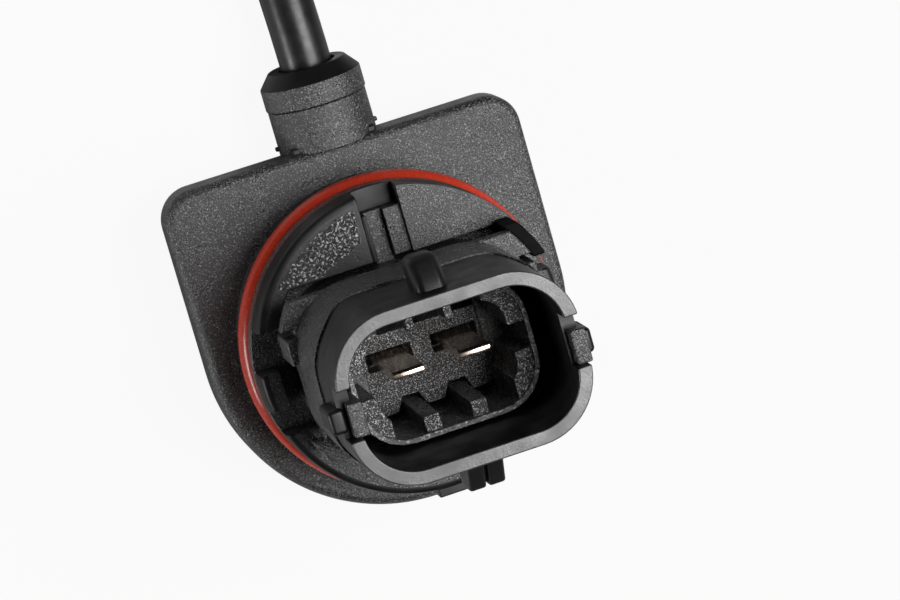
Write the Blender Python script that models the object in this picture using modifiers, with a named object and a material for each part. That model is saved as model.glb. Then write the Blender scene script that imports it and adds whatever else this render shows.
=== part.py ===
"""Oil level sensor: a flanged plug head with a seal ring, and a hot-wire probe on a short lead.

The head goes through the wall of the sump and takes the loom's plug. The probe stands in the oil.
The origin is on the head's back face, on the axis of its round boss. +Z points to the loom's plug,
+Y along the cable gland. Sizes are written in millimetres and made metres by MM.
"""
import math

import bmesh
import bpy
from mathutils import Matrix, Vector

MM = 0.001
GAP = 0.3 * MM
WELD = 0.000001
OVERLAP = 0.5 * MM
FLAT_ANGLE = math.radians(0.5)

# Flange plate: straight sides and top edge, half round at the bottom
PLATE_HALF_WIDTH = 16.5 * MM
PLATE_TOP_Y = 16.7 * MM
PLATE_CORNER = 3.0 * MM
PLATE_BACK_Z = 5.0 * MM
PLATE_THICKNESS = 3.6 * MM
PLATE_EDGE_ROUND = 0.9 * MM

# Box behind the plate, closed by the back cover
BOX_INSET = 2.0 * MM
BOX_WALL = 1.6 * MM
PLATE_SKIN = 1.6 * MM
COVER_THICKNESS = 1.2 * MM
COVER_LIP_WALL = 0.9 * MM
COVER_LIP_HEIGHT = 1.2 * MM

# Round boss with the seal ring's groove, two raised segments and a sunk channel between them
BOSS_RADIUS = 13.65 * MM
SEGMENT_TOP_Z = 18.3 * MM
CHANNEL_FLOOR_Z = 15.5 * MM
CHORD_Y = 7.5 * MM
LIP_WIDTH = 1.85 * MM
LIP_END_Y = 4.6 * MM
RING_LUG_LOW_Y = -2.4 * MM
RING_LUG_HIGH_Y = 1.0 * MM
RING_OUTER_RADIUS = 14.2 * MM
RING_SECTION = 2.5 * MM
RING_Z = 12.4 * MM

# Slot with a step beside it in the upper segment, a notch in its rim and a tab on the lower one
SLOT_LEFT_X = -0.9 * MM
SLOT_RIGHT_X = 0.7 * MM
SLOT_DEPTH = 1.2 * MM
SLOT_STEP_WIDTH = 1.6 * MM
SLOT_STEP_DEPTH = 0.5 * MM
RIM_NOTCH_LEFT_X = -1.3 * MM
RIM_NOTCH_Y = 11.7 * MM
RIM_NOTCH_DEPTH = 2.2 * MM
TAB_HALF_WIDTH = 1.4 * MM
TAB_PROUD = 0.65 * MM

# Plug shroud: a neck, a wider foot and a smooth upper wall
SHROUD_HALF_X = 10.55 * MM
SHROUD_HALF_Y = 7.45 * MM
SHROUD_CORNER = 5.6 * MM
SHROUD_WALL = 1.22 * MM
RIM_Z = 38.1 * MM
NECK_INSET = 0.35 * MM
FOOT_PROUD = 0.2 * MM
FOOT_LOW_Z = 21.7 * MM
FOOT_HIGH_Z = 28.0 * MM
SOCKET_FLOOR_Z = 17.0 * MM

# Side flanges on the foot, each cut by a pocket
FLANGE_LOW_Z = 20.9 * MM
FLANGE_THICKNESS = 1.3 * MM
FLANGE_RADIUS = 12.4 * MM
FLANGE_HALF_Y = 7.3 * MM
FLANGE_POCKET_END_Y = 4.9 * MM

# Latch noses on the long sides, blocks and nubs on the short sides of the shroud
NOSE_HALF_WIDTH = 1.6 * MM
NOSE_PROUD = 2.75 * MM
NOSE_LOW_Z = 31.8 * MM
NOSE_HEIGHT = 2.8 * MM
NOSE_SLOPE = 2.0 * MM
BLOCK_LOW_Y = -2.2 * MM
BLOCK_HIGH_Y = 0.8 * MM
BLOCK_DROP = 0.9 * MM
BLOCK_HEIGHT = 4.5 * MM
BLOCK_HALF_X = 0.65 * MM
BLOCK_INWARD = 0.17 * MM
BLOCK_SHIFT_X = 0.53 * MM
END_NOTCH_WIDTH = 1.4 * MM
END_NOTCH_DEPTH = 2.2 * MM
NUB_PROUD = 1.0 * MM
NUB_HALF = 1.1 * MM
NUB_MIDDLE_Y = -0.6 * MM
NUB_DROP = 0.8 * MM
NUB_HEIGHT = 4.0 * MM

# Terminal insert: a thin cup in the socket, with an island round the blades
INSERT_HALF_X = 8.1 * MM
INSERT_CORNER = 4.1 * MM
INSERT_WALL = 0.45 * MM
INSERT_BASE = 1.7 * MM
INSERT_TOP_Z = 29.8 * MM
CORNER_DROP = 0.25 * MM
CORNER_THICKNESS = 1.9 * MM
CORNER_LOW_X = 5.5 * MM
CORNER_HIGH_X = 4.6 * MM
CORNER_SIDE_GAP = 1.2 * MM
LOW_RIB_X = 2.1 * MM
LOW_RIB_WIDTH = 1.4 * MM
LOW_RIB_REACH = 1.35 * MM
HIGH_RIB_X = 1.7 * MM
HIGH_RIB_WIDTH = 0.7 * MM
HIGH_RIB_REACH = 2.2 * MM
RIB_DROP = 0.5 * MM
ISLAND_TOP_Z = 22.0 * MM
ISLAND_HALF_X = 7.1 * MM
ISLAND_HIGH_Y = 2.2 * MM
ISLAND_SHOULDER_Y = -1.0 * MM
ISLAND_LOBE_Y = -4.85 * MM
ISLAND_NOTCH_Y = -3.6 * MM
ISLAND_LOBE_X = 4.2 * MM
ISLAND_LOBE_HALF = 0.75 * MM
POCKET_INNER_X = 0.9 * MM
POCKET_OUTER_X = 5.0 * MM
POCKET_HALF_Y = 0.8 * MM
POCKET_DEPTH = 2.2 * MM

# Blade terminals, bent to a tail that enters the crimp
BLADE_X = 2.95 * MM
BLADE_WIDTH = 2.8 * MM
BLADE_THICKNESS = 0.7 * MM
BLADE_TIP_Z = 29.7 * MM
BLADE_POINT = 0.4 * MM
TAIL_WIDTH = 1.4 * MM
TAIL_END_Y = 7.0 * MM

# Cable, its two cores and their crimps
CABLE_DIAMETER = 4.6 * MM
CABLE_START_Y = 13.4 * MM
CORE_DIAMETER = 1.5 * MM
CORE_SPACING = 1.9 * MM
CRIMP_WALL = 0.4 * MM
CRIMP_LENGTH = 4.4 * MM
CRIMP_OVERLAP = 1.9 * MM

# Cable gland: a moulded stub, a rubber seal and a cap, the same at both ends of the lead
GLAND_Z = 4.6 * MM
STUB_RADIUS = 4.45 * MM
STUB_END_Y = 20.7 * MM
SEAL_WALL = 0.8 * MM
SEAL_LENGTH = 2.5 * MM
CAP_RADIUS = 4.55 * MM
CAP_LENGTH = 3.2 * MM
CAP_CHAMFER_LENGTH = 1.4 * MM
CAP_CHAMFER_DEPTH = 1.1 * MM

# Flat coil of the lead, wound inward from its left side, a pitch apart, with one tie
COIL_CENTRE = (27.0 * MM, 52.4 * MM)
COIL_RADIUS = 27.0 * MM
COIL_PITCH = 4.9 * MM
COIL_TURNS = 1.13
COIL_STEPS_PER_TURN = 16
COIL_Z = 2.32 * MM
TIE_TURN = 0.10
TIE_BAND = 0.6 * MM
TIE_WIDTH = 3.0 * MM
TIE_RISE_TURNS = 0.05

# The lead's points before and after its coil, in millimetres
LEAD_POINTS = ((0.0, 13.4, 4.6), (0.0, 19.0, 4.6), (0.0, 26.0, 4.45), (0.0, 32.0, 3.5), (0.0, 38.0, 2.6),
               (0.0, 45.0, 2.32))
ENTRY_POINTS = ((17.3, 71.0, 2.32), (23.7, 71.5, 2.5), (29.7, 69.0, 3.1), (33.9, 64.1, 4.0), (35.4, 57.8, 4.5),
                (35.4, 54.6, 4.6), (35.4, 49.5, 4.6))
CABLE_READ_STEP = 5.2 * MM

# Probe unit: a foot with a cavity for the leads, two bushes and a spigot for the guard tube
PROBE_GLAND_X = 35.4 * MM
PROBE_STUB_END_Y = 55.8 * MM
FOOT_LEFT_X = 24.9 * MM
FOOT_RIGHT_X = 40.2 * MM
FOOT_FRONT_Y = 35.8 * MM
FOOT_BACK_Y = 51.8 * MM
FOOT_HEIGHT = 9.4 * MM
FOOT_CORNER = 2.0 * MM
FOOT_WALL = 1.6 * MM
FOOT_ROOF = 2.0 * MM
FOOT_EDGE_ROUND = 0.5 * MM
LEAD_CAVITY_LEFT_X = 30.9 * MM
LEAD_CAVITY_FRONT_Y = 39.2 * MM
BUSH_X = 28.2 * MM
BUSH_LOW_Y = 38.6 * MM
BUSH_HIGH_Y = 49.0 * MM
BUSH_RADIUS = 1.6 * MM
BUSH_BORE = 1.1 * MM
FOOT_COVER_THICKNESS = 1.2 * MM

# Guard tube, its cap, and the blade that carries the hot wire
GUARD_X = 34.0 * MM
GUARD_Y = 43.2 * MM
GUARD_RADIUS = 5.2 * MM
GUARD_WALL = 1.0 * MM
GUARD_LENGTH = 23.3 * MM
GUARD_SLOT_WIDTH = 2.4 * MM
GUARD_SLOT_MARGIN = 3.5 * MM
SPIGOT_HEIGHT = 2.0 * MM
CAP_DISC_THICKNESS = 1.5 * MM
CAP_VENT_RADIUS = 0.8 * MM
CAP_EDGE_ROUND = 0.5 * MM
FORMER_HALF_WIDTH = 2.2 * MM
FORMER_THICKNESS = 1.0 * MM
PEG_X = 0.95 * MM
PEG_RADIUS = 0.3 * MM
PEG_DROP = 2.1 * MM
WIRE_DIAMETER = 0.3 * MM
WIRE_OFFSET_Y = 1.35 * MM
POST_X = 1.7 * MM
POST_RADIUS = 0.5 * MM
POST_LOW_Z = 3.6 * MM
POST_HIGH_Z = 12.6 * MM

# Local axes of outlines that stand up: (y, z) drawn and thickened along X, (z, x) thickened along Y
ALONG_X = Matrix(((0, 0, 1, 0), (1, 0, 0, 0), (0, 1, 0, 0), (0, 0, 0, 1)))
ALONG_Y = Matrix(((0, 1, 0, 0), (0, 0, 1, 0), (1, 0, 0, 0), (0, 0, 0, 1)))
TURN_TO_Y = Matrix.Rotation(-math.pi / 2, 4, "X")

# Colour, roughness and metallic of each material
FINISHES = {
    "black_moulding": ((0.030, 0.030, 0.032), 0.55, 0.0),
    "dark_insert": ((0.040, 0.038, 0.038), 0.60, 0.0),
    "red_silicone": ((0.45, 0.035, 0.012), 0.40, 0.0),
    "black_rubber": ((0.022, 0.022, 0.024), 0.45, 0.0),
    "tinned_brass": ((0.75, 0.62, 0.48), 0.30, 1.0),
    "steel": ((0.60, 0.60, 0.61), 0.35, 1.0),
    "core_red": ((0.40, 0.04, 0.03), 0.50, 0.0),
    "core_black": ((0.03, 0.03, 0.03), 0.50, 0.0),
    "tie_nylon": ((0.05, 0.05, 0.05), 0.50, 0.0),
    "pale_nylon": ((0.62, 0.60, 0.54), 0.55, 0.0),
}


def collection(name):
    """Return the named collection, made and linked on first use."""
    group = bpy.data.collections.get(name)
    if group is None:
        group = bpy.data.collections.new(name)
        bpy.context.scene.collection.children.link(group)
    return group


def material(name):
    """Return the named plain material."""
    found = bpy.data.materials.get(name)
    if found is None:
        colour, roughness, metallic = FINISHES[name]
        found = bpy.data.materials.new(name)
        found.use_nodes = True
        shader = found.node_tree.nodes["Principled BSDF"]
        shader.inputs["Base Color"].default_value = (*colour, 1.0)
        shader.inputs["Roughness"].default_value = roughness
        shader.inputs["Metallic"].default_value = metallic
    return found


def tool_object(name, mesh):
    """Put a mesh in the scene as a tool: something that cuts or joins, or a part that isn't finished."""
    obj = bpy.data.objects.new(name, mesh)
    collection("Cutters").objects.link(obj)
    obj.hide_render = True
    obj.display_type = "WIRE"
    return obj


def part(obj, name, finish):
    """Turn a tool object into a named part with its material, shaded smooth between sharp edges."""
    collection("Cutters").objects.unlink(obj)
    collection("Oil level sensor").objects.link(obj)
    obj.hide_render = False
    obj.display_type = "TEXTURED"
    obj.name = name
    obj.data.name = name
    obj.data.materials.clear()
    obj.data.materials.append(material(finish))
    obj.data.shade_smooth()
    obj.data.set_sharp_from_angle(angle=math.radians(35))
    return obj


def closed_mesh(obj, whole_faces=False):
    """Return an object's evaluated shape as a welded mesh, its flat faces whole on request, pointing out."""
    bpy.context.view_layer.update()
    graph = bpy.context.evaluated_depsgraph_get()
    mesh = bpy.data.meshes.new_from_object(obj.evaluated_get(graph))
    shape = bmesh.new()
    shape.from_mesh(mesh)
    bmesh.ops.remove_doubles(shape, verts=shape.verts, dist=WELD)
    if whole_faces:
        bmesh.ops.dissolve_limit(shape, angle_limit=FLAT_ANGLE, verts=shape.verts, edges=shape.edges)
    bmesh.ops.recalc_face_normals(shape, faces=shape.faces)
    shape.to_mesh(mesh)
    shape.free()
    return mesh


def curve_to_tool(name, curve, place=None, whole_faces=False):
    """Replace a curve by the closed mesh that it draws."""
    drawn = bpy.data.objects.new(name, curve)
    collection("Cutters").objects.link(drawn)
    if place is not None:
        drawn.matrix_world = place
    result = tool_object(name, closed_mesh(drawn, whole_faces))
    result.matrix_world = drawn.matrix_world
    bpy.data.objects.remove(drawn)
    bpy.data.curves.remove(curve)
    return result


def slab(name, outlines, low, high, place=None):
    """Fill one outline, less any further ones, and thicken it from low to high."""
    curve = bpy.data.curves.new(name, "CURVE")
    curve.dimensions = "2D"
    curve.fill_mode = "BOTH"
    curve.extrude = (high - low) / 2
    for points in outlines:
        spline = curve.splines.new("POLY")
        spline.points.add(len(points) - 1)
        for target, point in zip(spline.points, points):
            target.co = (point[0], point[1], 0.0, 1.0)
        spline.use_cyclic_u = True
    lift = Matrix.Translation((0.0, 0.0, (high + low) / 2))
    return curve_to_tool(name, curve, lift if place is None else place @ lift, True)


def tube(name, points, diameter, resolution=2):
    """A round rod along a line of points, with closed ends."""
    curve = bpy.data.curves.new(name, "CURVE")
    curve.dimensions = "3D"
    curve.bevel_depth = diameter / 2
    curve.bevel_resolution = resolution
    curve.use_fill_caps = True
    spline = curve.splines.new("POLY")
    spline.points.add(len(points) - 1)
    for target, point in zip(spline.points, points):
        target.co = (*point, 1.0)
    return curve_to_tool(name, curve)


def cylinder(name, radius, low, high, sides=48, place=None):
    """A round bar along Z, or along the Z of the given placing."""
    shape = bmesh.new()
    bmesh.ops.create_cone(shape, cap_ends=True, segments=sides, radius1=radius, radius2=radius, depth=high - low)
    bmesh.ops.translate(shape, verts=shape.verts, vec=(0.0, 0.0, (high + low) / 2))
    if place is not None:
        shape.transform(place)
    mesh = bpy.data.meshes.new(name)
    shape.to_mesh(mesh)
    shape.free()
    return tool_object(name, mesh)


def box(name, low, high):
    """A box between two opposite corners."""
    shape = bmesh.new()
    bmesh.ops.create_cube(shape, size=1.0)
    centre = (Vector(low) + Vector(high)) / 2
    size = Vector(high) - Vector(low)
    bmesh.ops.scale(shape, vec=size, verts=shape.verts)
    bmesh.ops.translate(shape, verts=shape.verts, vec=centre)
    mesh = bpy.data.meshes.new(name)
    shape.to_mesh(mesh)
    shape.free()
    return tool_object(name, mesh)


def turned(name, profile, steps, place=None):
    """Turn a closed profile of (radius, height) points about Z."""
    mesh = bpy.data.meshes.new(name)
    points = [(radius, 0.0, height) for radius, height in profile]
    edges = [(index, (index + 1) % len(points)) for index in range(len(points))]
    mesh.from_pydata(points, edges, [])
    spun = tool_object(name, mesh)
    screw = spun.modifiers.new("turn", "SCREW")
    screw.steps = steps
    screw.render_steps = steps
    screw.use_merge_vertices = True
    screw.merge_threshold = 0.00001
    solid = closed_mesh(spun)
    if place is not None:
        solid.transform(place)
    bpy.data.objects.remove(spun)
    bpy.data.meshes.remove(mesh)
    return tool_object(name, solid)


def combine(body, tool, operation):
    """Add a live Boolean of a tool to a body."""
    change = body.modifiers.new(tool.name, "BOOLEAN")
    change.operation = operation
    change.solver = "EXACT"
    change.object = tool
    return body


def join(body, tool):
    return combine(body, tool, "UNION")


def cut(body, tool):
    return combine(body, tool, "DIFFERENCE")


def round_top_edge(obj, height, width, segments=3):
    """Round the edges of a slab's upper face by a bevel."""
    shape = bmesh.new()
    shape.from_mesh(obj.data)
    local = height - obj.location.z
    top = [edge for edge in shape.edges if all(abs(vert.co.z - local) < WELD * 10 for vert in edge.verts)]
    bmesh.ops.bevel(shape, geom=top, offset=width, segments=segments, profile=0.5, affect="EDGES")
    shape.to_mesh(obj.data)
    shape.free()
    return obj


def arc(radius, start, end, steps, centre=(0.0, 0.0)):
    """Points on an arc from one angle to another, in degrees."""
    points = []
    for index in range(steps + 1):
        angle = math.radians(start + (end - start) * index / steps)
        points.append((centre[0] + radius * math.cos(angle), centre[1] + radius * math.sin(angle)))
    return points


def circle(radius, sides=64, centre=(0.0, 0.0)):
    return arc(radius, 0.0, 360.0, sides, centre)[:-1]


def rounded_box(half_x, half_y, corner, centre=(0.0, 0.0), steps=6):
    """Outline of a box with round corners."""
    points = []
    for side_x, side_y, start in ((1, 1, 0), (-1, 1, 90), (-1, -1, 180), (1, -1, 270)):
        middle = (centre[0] + side_x * (half_x - corner), centre[1] + side_y * (half_y - corner))
        points += arc(corner, start, start + 90, steps, middle)
    return points


def plate_outline(inset):
    """The flange plate's outline, moved inward."""
    half = PLATE_HALF_WIDTH - inset
    top = PLATE_TOP_Y - inset
    corner = max(PLATE_CORNER - inset, 0.8 * MM)
    points = arc(half, 180.0, 360.0, 36)
    points += arc(corner, 0.0, 90.0, 6, (half - corner, top - corner))
    points += arc(corner, 90.0, 180.0, 6, (corner - half, top - corner))
    return points


def round_strip(radius, half_y, steps=10):
    """Outline of a disc cut off above and below by straight lines."""
    reach = math.degrees(math.asin(half_y / radius))
    return arc(radius, -reach, reach, steps) + arc(radius, 180.0 - reach, 180.0 + reach, steps)


def shroud_outline(grow, steps=8):
    return rounded_box(SHROUD_HALF_X + grow, SHROUD_HALF_Y + grow, SHROUD_CORNER + grow, steps=steps)


def coil_point(turn):
    """A point of the flat coil, turn counted from its start at the left, clockwise."""
    radius = COIL_RADIUS - COIL_PITCH * turn
    angle = math.pi - 2.0 * math.pi * turn
    rise = TIE_BAND + GAP + CABLE_DIAMETER / 2 - COIL_Z
    lift = sum(math.exp(-((turn - tied) / TIE_RISE_TURNS) ** 2) for tied in (TIE_TURN, TIE_TURN + 1.0))
    return Vector((COIL_CENTRE[0] + radius * math.cos(angle), COIL_CENTRE[1] + radius * math.sin(angle),
                   COIL_Z + rise * lift))


def smooth_line(points, step):
    """Read a smooth curve through the points at even steps."""
    ends = [points[0] * 2 - points[1]] + list(points) + [points[-1] * 2 - points[-2]]
    fine = []
    for index in range(1, len(ends) - 2):
        before, start, end, after = ends[index - 1:index + 3]
        for part_step in range(20):
            t = part_step / 20
            fine.append(0.5 * (2 * start + (end - before) * t + (2 * before - 5 * start + 4 * end - after) * t ** 2
                               + (3 * start - before - 3 * end + after) * t ** 3))
    fine.append(points[-1])
    total = sum((b - a).length for a, b in zip(fine, fine[1:]))
    count = max(2, round(total / step))
    wanted = total / count
    even = [fine[0]]
    travelled = 0.0
    for a, b in zip(fine, fine[1:]):
        length = (b - a).length
        while length > 0 and travelled + length >= wanted * len(even) - WELD and len(even) < count:
            even.append(a.lerp(b, (wanted * len(even) - travelled) / length))
        travelled += length
    even.append(fine[-1])
    return even


def cable_route():
    """The lead's own points: out of the head, round the coil and into the probe's foot."""
    lead = [Vector(point) * MM for point in LEAD_POINTS]
    coil = [coil_point(index / COIL_STEPS_PER_TURN) for index in range(int(COIL_TURNS * COIL_STEPS_PER_TURN) + 1)]
    entry = [Vector(point) * MM for point in ENTRY_POINTS]
    return lead + coil + entry


def build_housing():
    """The head's main moulding: plate, back box, boss, shroud and cable stub."""
    plate_front_z = PLATE_BACK_Z + PLATE_THICKNESS
    body = slab("housing", [plate_outline(0.0)], PLATE_BACK_Z, plate_front_z)
    round_top_edge(body, plate_front_z, PLATE_EDGE_ROUND)
    box_low_z = COVER_THICKNESS + GAP
    join(body, slab("back_box", [plate_outline(BOX_INSET)], box_low_z, PLATE_BACK_Z + OVERLAP))
    join(body, cylinder("boss", BOSS_RADIUS, plate_front_z - OVERLAP, SEGMENT_TOP_Z, 96))
    join(body, box("tab", (-TAB_HALF_WIDTH, -BOSS_RADIUS - TAB_PROUD, CHANNEL_FLOOR_Z),
                   (TAB_HALF_WIDTH, -BOSS_RADIUS + 2 * MM, SEGMENT_TOP_Z - OVERLAP)))
    groove_half = RING_SECTION / 2 + GAP
    groove_floor = RING_OUTER_RADIUS - RING_SECTION - GAP
    cut(body, slab("ring_groove", [circle(BOSS_RADIUS + 2 * MM, 96), circle(groove_floor, 96)],
                   RING_Z - groove_half, RING_Z + groove_half))
    cut_boss_top(body)
    add_shroud(body)
    add_gland_stub(body, 0.0, STUB_END_Y, PLATE_TOP_Y - BOX_INSET, box_low_z, plate_front_z)
    cavity_top = plate_front_z - PLATE_SKIN
    cut(body, slab("wire_cavity", [plate_outline(BOX_INSET + BOX_WALL)], 0.0, cavity_top))
    bore_gland_stub(body, 0.0, STUB_END_Y, PLATE_TOP_Y - BOX_INSET - BOX_WALL)
    slot_x = BLADE_WIDTH / 2 + GAP
    slot_y = BLADE_THICKNESS / 2 + GAP
    for side in (-1, 1):
        cut(body, box("blade_slot", (side * BLADE_X - slot_x, -slot_y, cavity_top - OVERLAP),
                      (side * BLADE_X + slot_x, slot_y, SOCKET_FLOOR_Z + OVERLAP)))
    return part(body, "housing", "black_moulding")


def cut_boss_top(body):
    """Sink the channel between the segments, and the slot and notch in the upper one."""
    high = SEGMENT_TOP_Z + 1 * MM
    reach = BOSS_RADIUS + 1 * MM
    cut(body, slab("channel", [round_strip(BOSS_RADIUS - LIP_WIDTH, CHORD_Y)], CHANNEL_FLOOR_Z, high))
    for low_y, high_y in ((-LIP_END_Y, RING_LUG_LOW_Y), (RING_LUG_HIGH_Y, LIP_END_Y)):
        cut(body, box("lip_gap", (-reach, low_y, CHANNEL_FLOOR_Z), (reach, high_y, high)))
    slot_low_y = CHORD_Y - OVERLAP
    step_right = SLOT_RIGHT_X + SLOT_STEP_WIDTH
    cut(body, box("slot", (SLOT_LEFT_X, slot_low_y, SEGMENT_TOP_Z - SLOT_DEPTH), (SLOT_RIGHT_X, reach, high)))
    cut(body, box("slot_step", (SLOT_RIGHT_X - 0.1 * MM, slot_low_y, SEGMENT_TOP_Z - SLOT_STEP_DEPTH),
                  (step_right, reach, high)))
    cut(body, box("rim_notch", (RIM_NOTCH_LEFT_X, RIM_NOTCH_Y, SEGMENT_TOP_Z - RIM_NOTCH_DEPTH),
                  (step_right, reach, high)))


def add_shroud(body):
    """The plug shroud with its side flanges, latch noses, end blocks and socket."""
    join(body, slab("neck", [shroud_outline(-NECK_INSET)], CHANNEL_FLOOR_Z - OVERLAP, FOOT_LOW_Z + GAP))
    for side in (-1, 1):
        join(body, side_flange(side))
    join(body, slab("foot", [shroud_outline(FOOT_PROUD)], FOOT_LOW_Z, FOOT_HIGH_Z))
    join(body, slab("upper_wall", [shroud_outline(0.0)], FOOT_HIGH_Z - OVERLAP, RIM_Z))
    for side in (-1, 1):
        join(body, latch_nose(side))
    cut(body, slab("socket", [shroud_outline(-SHROUD_WALL)], SOCKET_FLOOR_Z, RIM_Z + 1 * MM))
    for side in (-1, 1):
        shape_shroud_end(body, side)


def side_flange(side):
    """The plate that stands out from the shroud's foot at one end, with a pocket in its middle."""
    root = SHROUD_HALF_X / 2
    pocket_x = SHROUD_HALF_X + FOOT_PROUD - OVERLAP
    corner = math.degrees(math.asin(FLANGE_HALF_Y / FLANGE_RADIUS))
    pocket = math.degrees(math.asin(FLANGE_POCKET_END_Y / FLANGE_RADIUS))
    outline = [(root, FLANGE_HALF_Y), (root, -FLANGE_HALF_Y)]
    outline += arc(FLANGE_RADIUS, -corner, -pocket, 3)
    outline += [(pocket_x, -FLANGE_POCKET_END_Y), (pocket_x, FLANGE_POCKET_END_Y)]
    outline += arc(FLANGE_RADIUS, pocket, corner, 3)
    return slab("flange", [[(side * x, side * y) for x, y in outline]], FLANGE_LOW_Z,
                FLANGE_LOW_Z + FLANGE_THICKNESS)


def latch_nose(side):
    """A nose for the plug's latch: flat below, sloped above, on one long side."""
    root = SHROUD_HALF_Y - OVERLAP
    face = SHROUD_HALF_Y
    tip = SHROUD_HALF_Y + NOSE_PROUD
    shoulder_z = NOSE_LOW_Z + NOSE_HEIGHT
    points = [(root, NOSE_LOW_Z), (tip, NOSE_LOW_Z), (tip, shoulder_z), (face, shoulder_z + NOSE_SLOPE),
              (root, shoulder_z + NOSE_SLOPE)]
    if side < 0:
        points = [(-y, z) for y, z in reversed(points)]
    return slab("latch_nose", [points], -NOSE_HALF_WIDTH, NOSE_HALF_WIDTH, ALONG_X)


def shape_shroud_end(body, side):
    """Lower the rim at one short side, with a notch, a block through the wall and a nub outside."""
    inner_face = SHROUD_HALF_X - SHROUD_WALL
    low_x, high_x = sorted((side * (inner_face - 1 * MM), side * (SHROUD_HALF_X + 1 * MM)))
    notch_high = BLOCK_HIGH_Y + END_NOTCH_WIDTH
    high = RIM_Z + 1 * MM
    top = RIM_Z - BLOCK_DROP
    cut(body, box("end_notch", (low_x, BLOCK_LOW_Y + 0.1 * MM, RIM_Z - END_NOTCH_DEPTH),
                  (high_x, notch_high, high)))
    block_x = side * ((inner_face + SHROUD_HALF_X) / 2 - BLOCK_INWARD) + BLOCK_SHIFT_X
    join(body, box("end_block", (block_x - BLOCK_HALF_X, BLOCK_LOW_Y, top - BLOCK_HEIGHT),
                   (block_x + BLOCK_HALF_X, BLOCK_HIGH_Y, top)))
    x_edges = sorted((side * (SHROUD_HALF_X - OVERLAP), side * (SHROUD_HALF_X + NUB_PROUD)))
    nub_top = top - NUB_DROP
    join(body, box("nub", (x_edges[0], NUB_MIDDLE_Y - NUB_HALF, nub_top - NUB_HEIGHT),
                   (x_edges[1], NUB_MIDDLE_Y + NUB_HALF, nub_top)))


def add_gland_stub(body, centre_x, end_y, wall_y, low_z, high_z):
    """The stub that the cable leaves by, and the root that ties it to the wall."""
    start_y = wall_y + GAP
    place = Matrix.Translation((centre_x, 0.0, GLAND_Z)) @ TURN_TO_Y
    join(body, cylinder("stub", STUB_RADIUS, start_y, end_y, 40, place))
    half = STUB_RADIUS * 0.88
    join(body, box("stub_root", (centre_x - half, wall_y - 1 * MM, low_z),
                   (centre_x + half, start_y + OVERLAP, min(high_z, GLAND_Z + STUB_RADIUS * 0.7))))


def bore_gland_stub(body, centre_x, end_y, inner_y):
    """The cable's hole through the stub, with the seal's wider seat at its mouth."""
    place = Matrix.Translation((centre_x, 0.0, GLAND_Z)) @ TURN_TO_Y
    hole = CABLE_DIAMETER / 2 + GAP
    cut(body, cylinder("cable_hole", hole, inner_y - OVERLAP, end_y + 1 * MM, 32, place))
    seat = hole + SEAL_WALL + GAP
    seat_start = end_y - SEAL_LENGTH - 3 * GAP
    cut(body, cylinder("seal_seat", seat, seat_start, end_y + 1 * MM, 32, place))


def build_gland(prefix, centre_x, end_y):
    """The rubber seal in a stub's mouth and the cap that closes it."""
    place = Matrix.Translation((centre_x, 0.0, GLAND_Z)) @ TURN_TO_Y
    bore = CABLE_DIAMETER / 2 + GAP
    outer = bore + SEAL_WALL
    seal_end = end_y - 2 * GAP
    seal = turned("seal", [(bore, seal_end - SEAL_LENGTH), (outer, seal_end - SEAL_LENGTH), (outer, seal_end),
                           (bore, seal_end)], 32, place)
    part(seal, prefix + "_seal", "black_rubber")
    face = end_y + GAP
    end = face + CAP_LENGTH
    cap = turned("cap", [(bore, end_y - GAP), (outer, end_y - GAP), (outer, face), (CAP_RADIUS, face),
                         (CAP_RADIUS, end - CAP_CHAMFER_LENGTH), (CAP_RADIUS - CAP_CHAMFER_DEPTH * 0.5,
                                                                 end - CAP_CHAMFER_LENGTH * 0.38),
                         (CAP_RADIUS - CAP_CHAMFER_DEPTH, end), (bore, end)], 40, place)
    part(cap, prefix + "_gland_cap", "black_moulding")


def build_seal_ring():
    bpy.ops.mesh.primitive_torus_add(location=(0.0, 0.0, 0.0), major_segments=80, minor_segments=10,
                                     major_radius=RING_OUTER_RADIUS - RING_SECTION / 2,
                                     minor_radius=RING_SECTION / 2)
    made = bpy.context.object
    ring = tool_object("ring", made.data.copy())
    ring.location.z = RING_Z
    bpy.data.objects.remove(made)
    part(ring, "seal_ring", "red_silicone")


def build_back_cover():
    cover = slab("cover", [plate_outline(BOX_INSET)], 0.0, COVER_THICKNESS)
    lip = BOX_INSET + BOX_WALL + GAP
    join(cover, slab("cover_lip", [plate_outline(lip), plate_outline(lip + COVER_LIP_WALL)],
                     COVER_THICKNESS - OVERLAP, COVER_THICKNESS + COVER_LIP_HEIGHT))
    part(cover, "back_cover", "black_moulding")


def island_outline():
    """The island round the blades: straight above, three lobes below."""
    half = ISLAND_HALF_X
    lobe = ISLAND_LOBE_HALF
    slope = 0.6 * MM
    right = [(half, ISLAND_SHOULDER_Y), (ISLAND_LOBE_X + lobe + slope, ISLAND_LOBE_Y + 1.3 * slope)]
    for centre in (ISLAND_LOBE_X, 0.0, -ISLAND_LOBE_X):
        right += [(centre + lobe, ISLAND_LOBE_Y), (centre - lobe, ISLAND_LOBE_Y)]
        if centre > -ISLAND_LOBE_X:
            right += [(centre - lobe - slope, ISLAND_NOTCH_Y), (centre - ISLAND_LOBE_X + lobe + slope, ISLAND_NOTCH_Y)]
    right += [(-ISLAND_LOBE_X - lobe - slope, ISLAND_LOBE_Y + 1.3 * slope), (-half, ISLAND_SHOULDER_Y),
              (-half, ISLAND_HIGH_Y), (half, ISLAND_HIGH_Y)]
    return right


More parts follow.
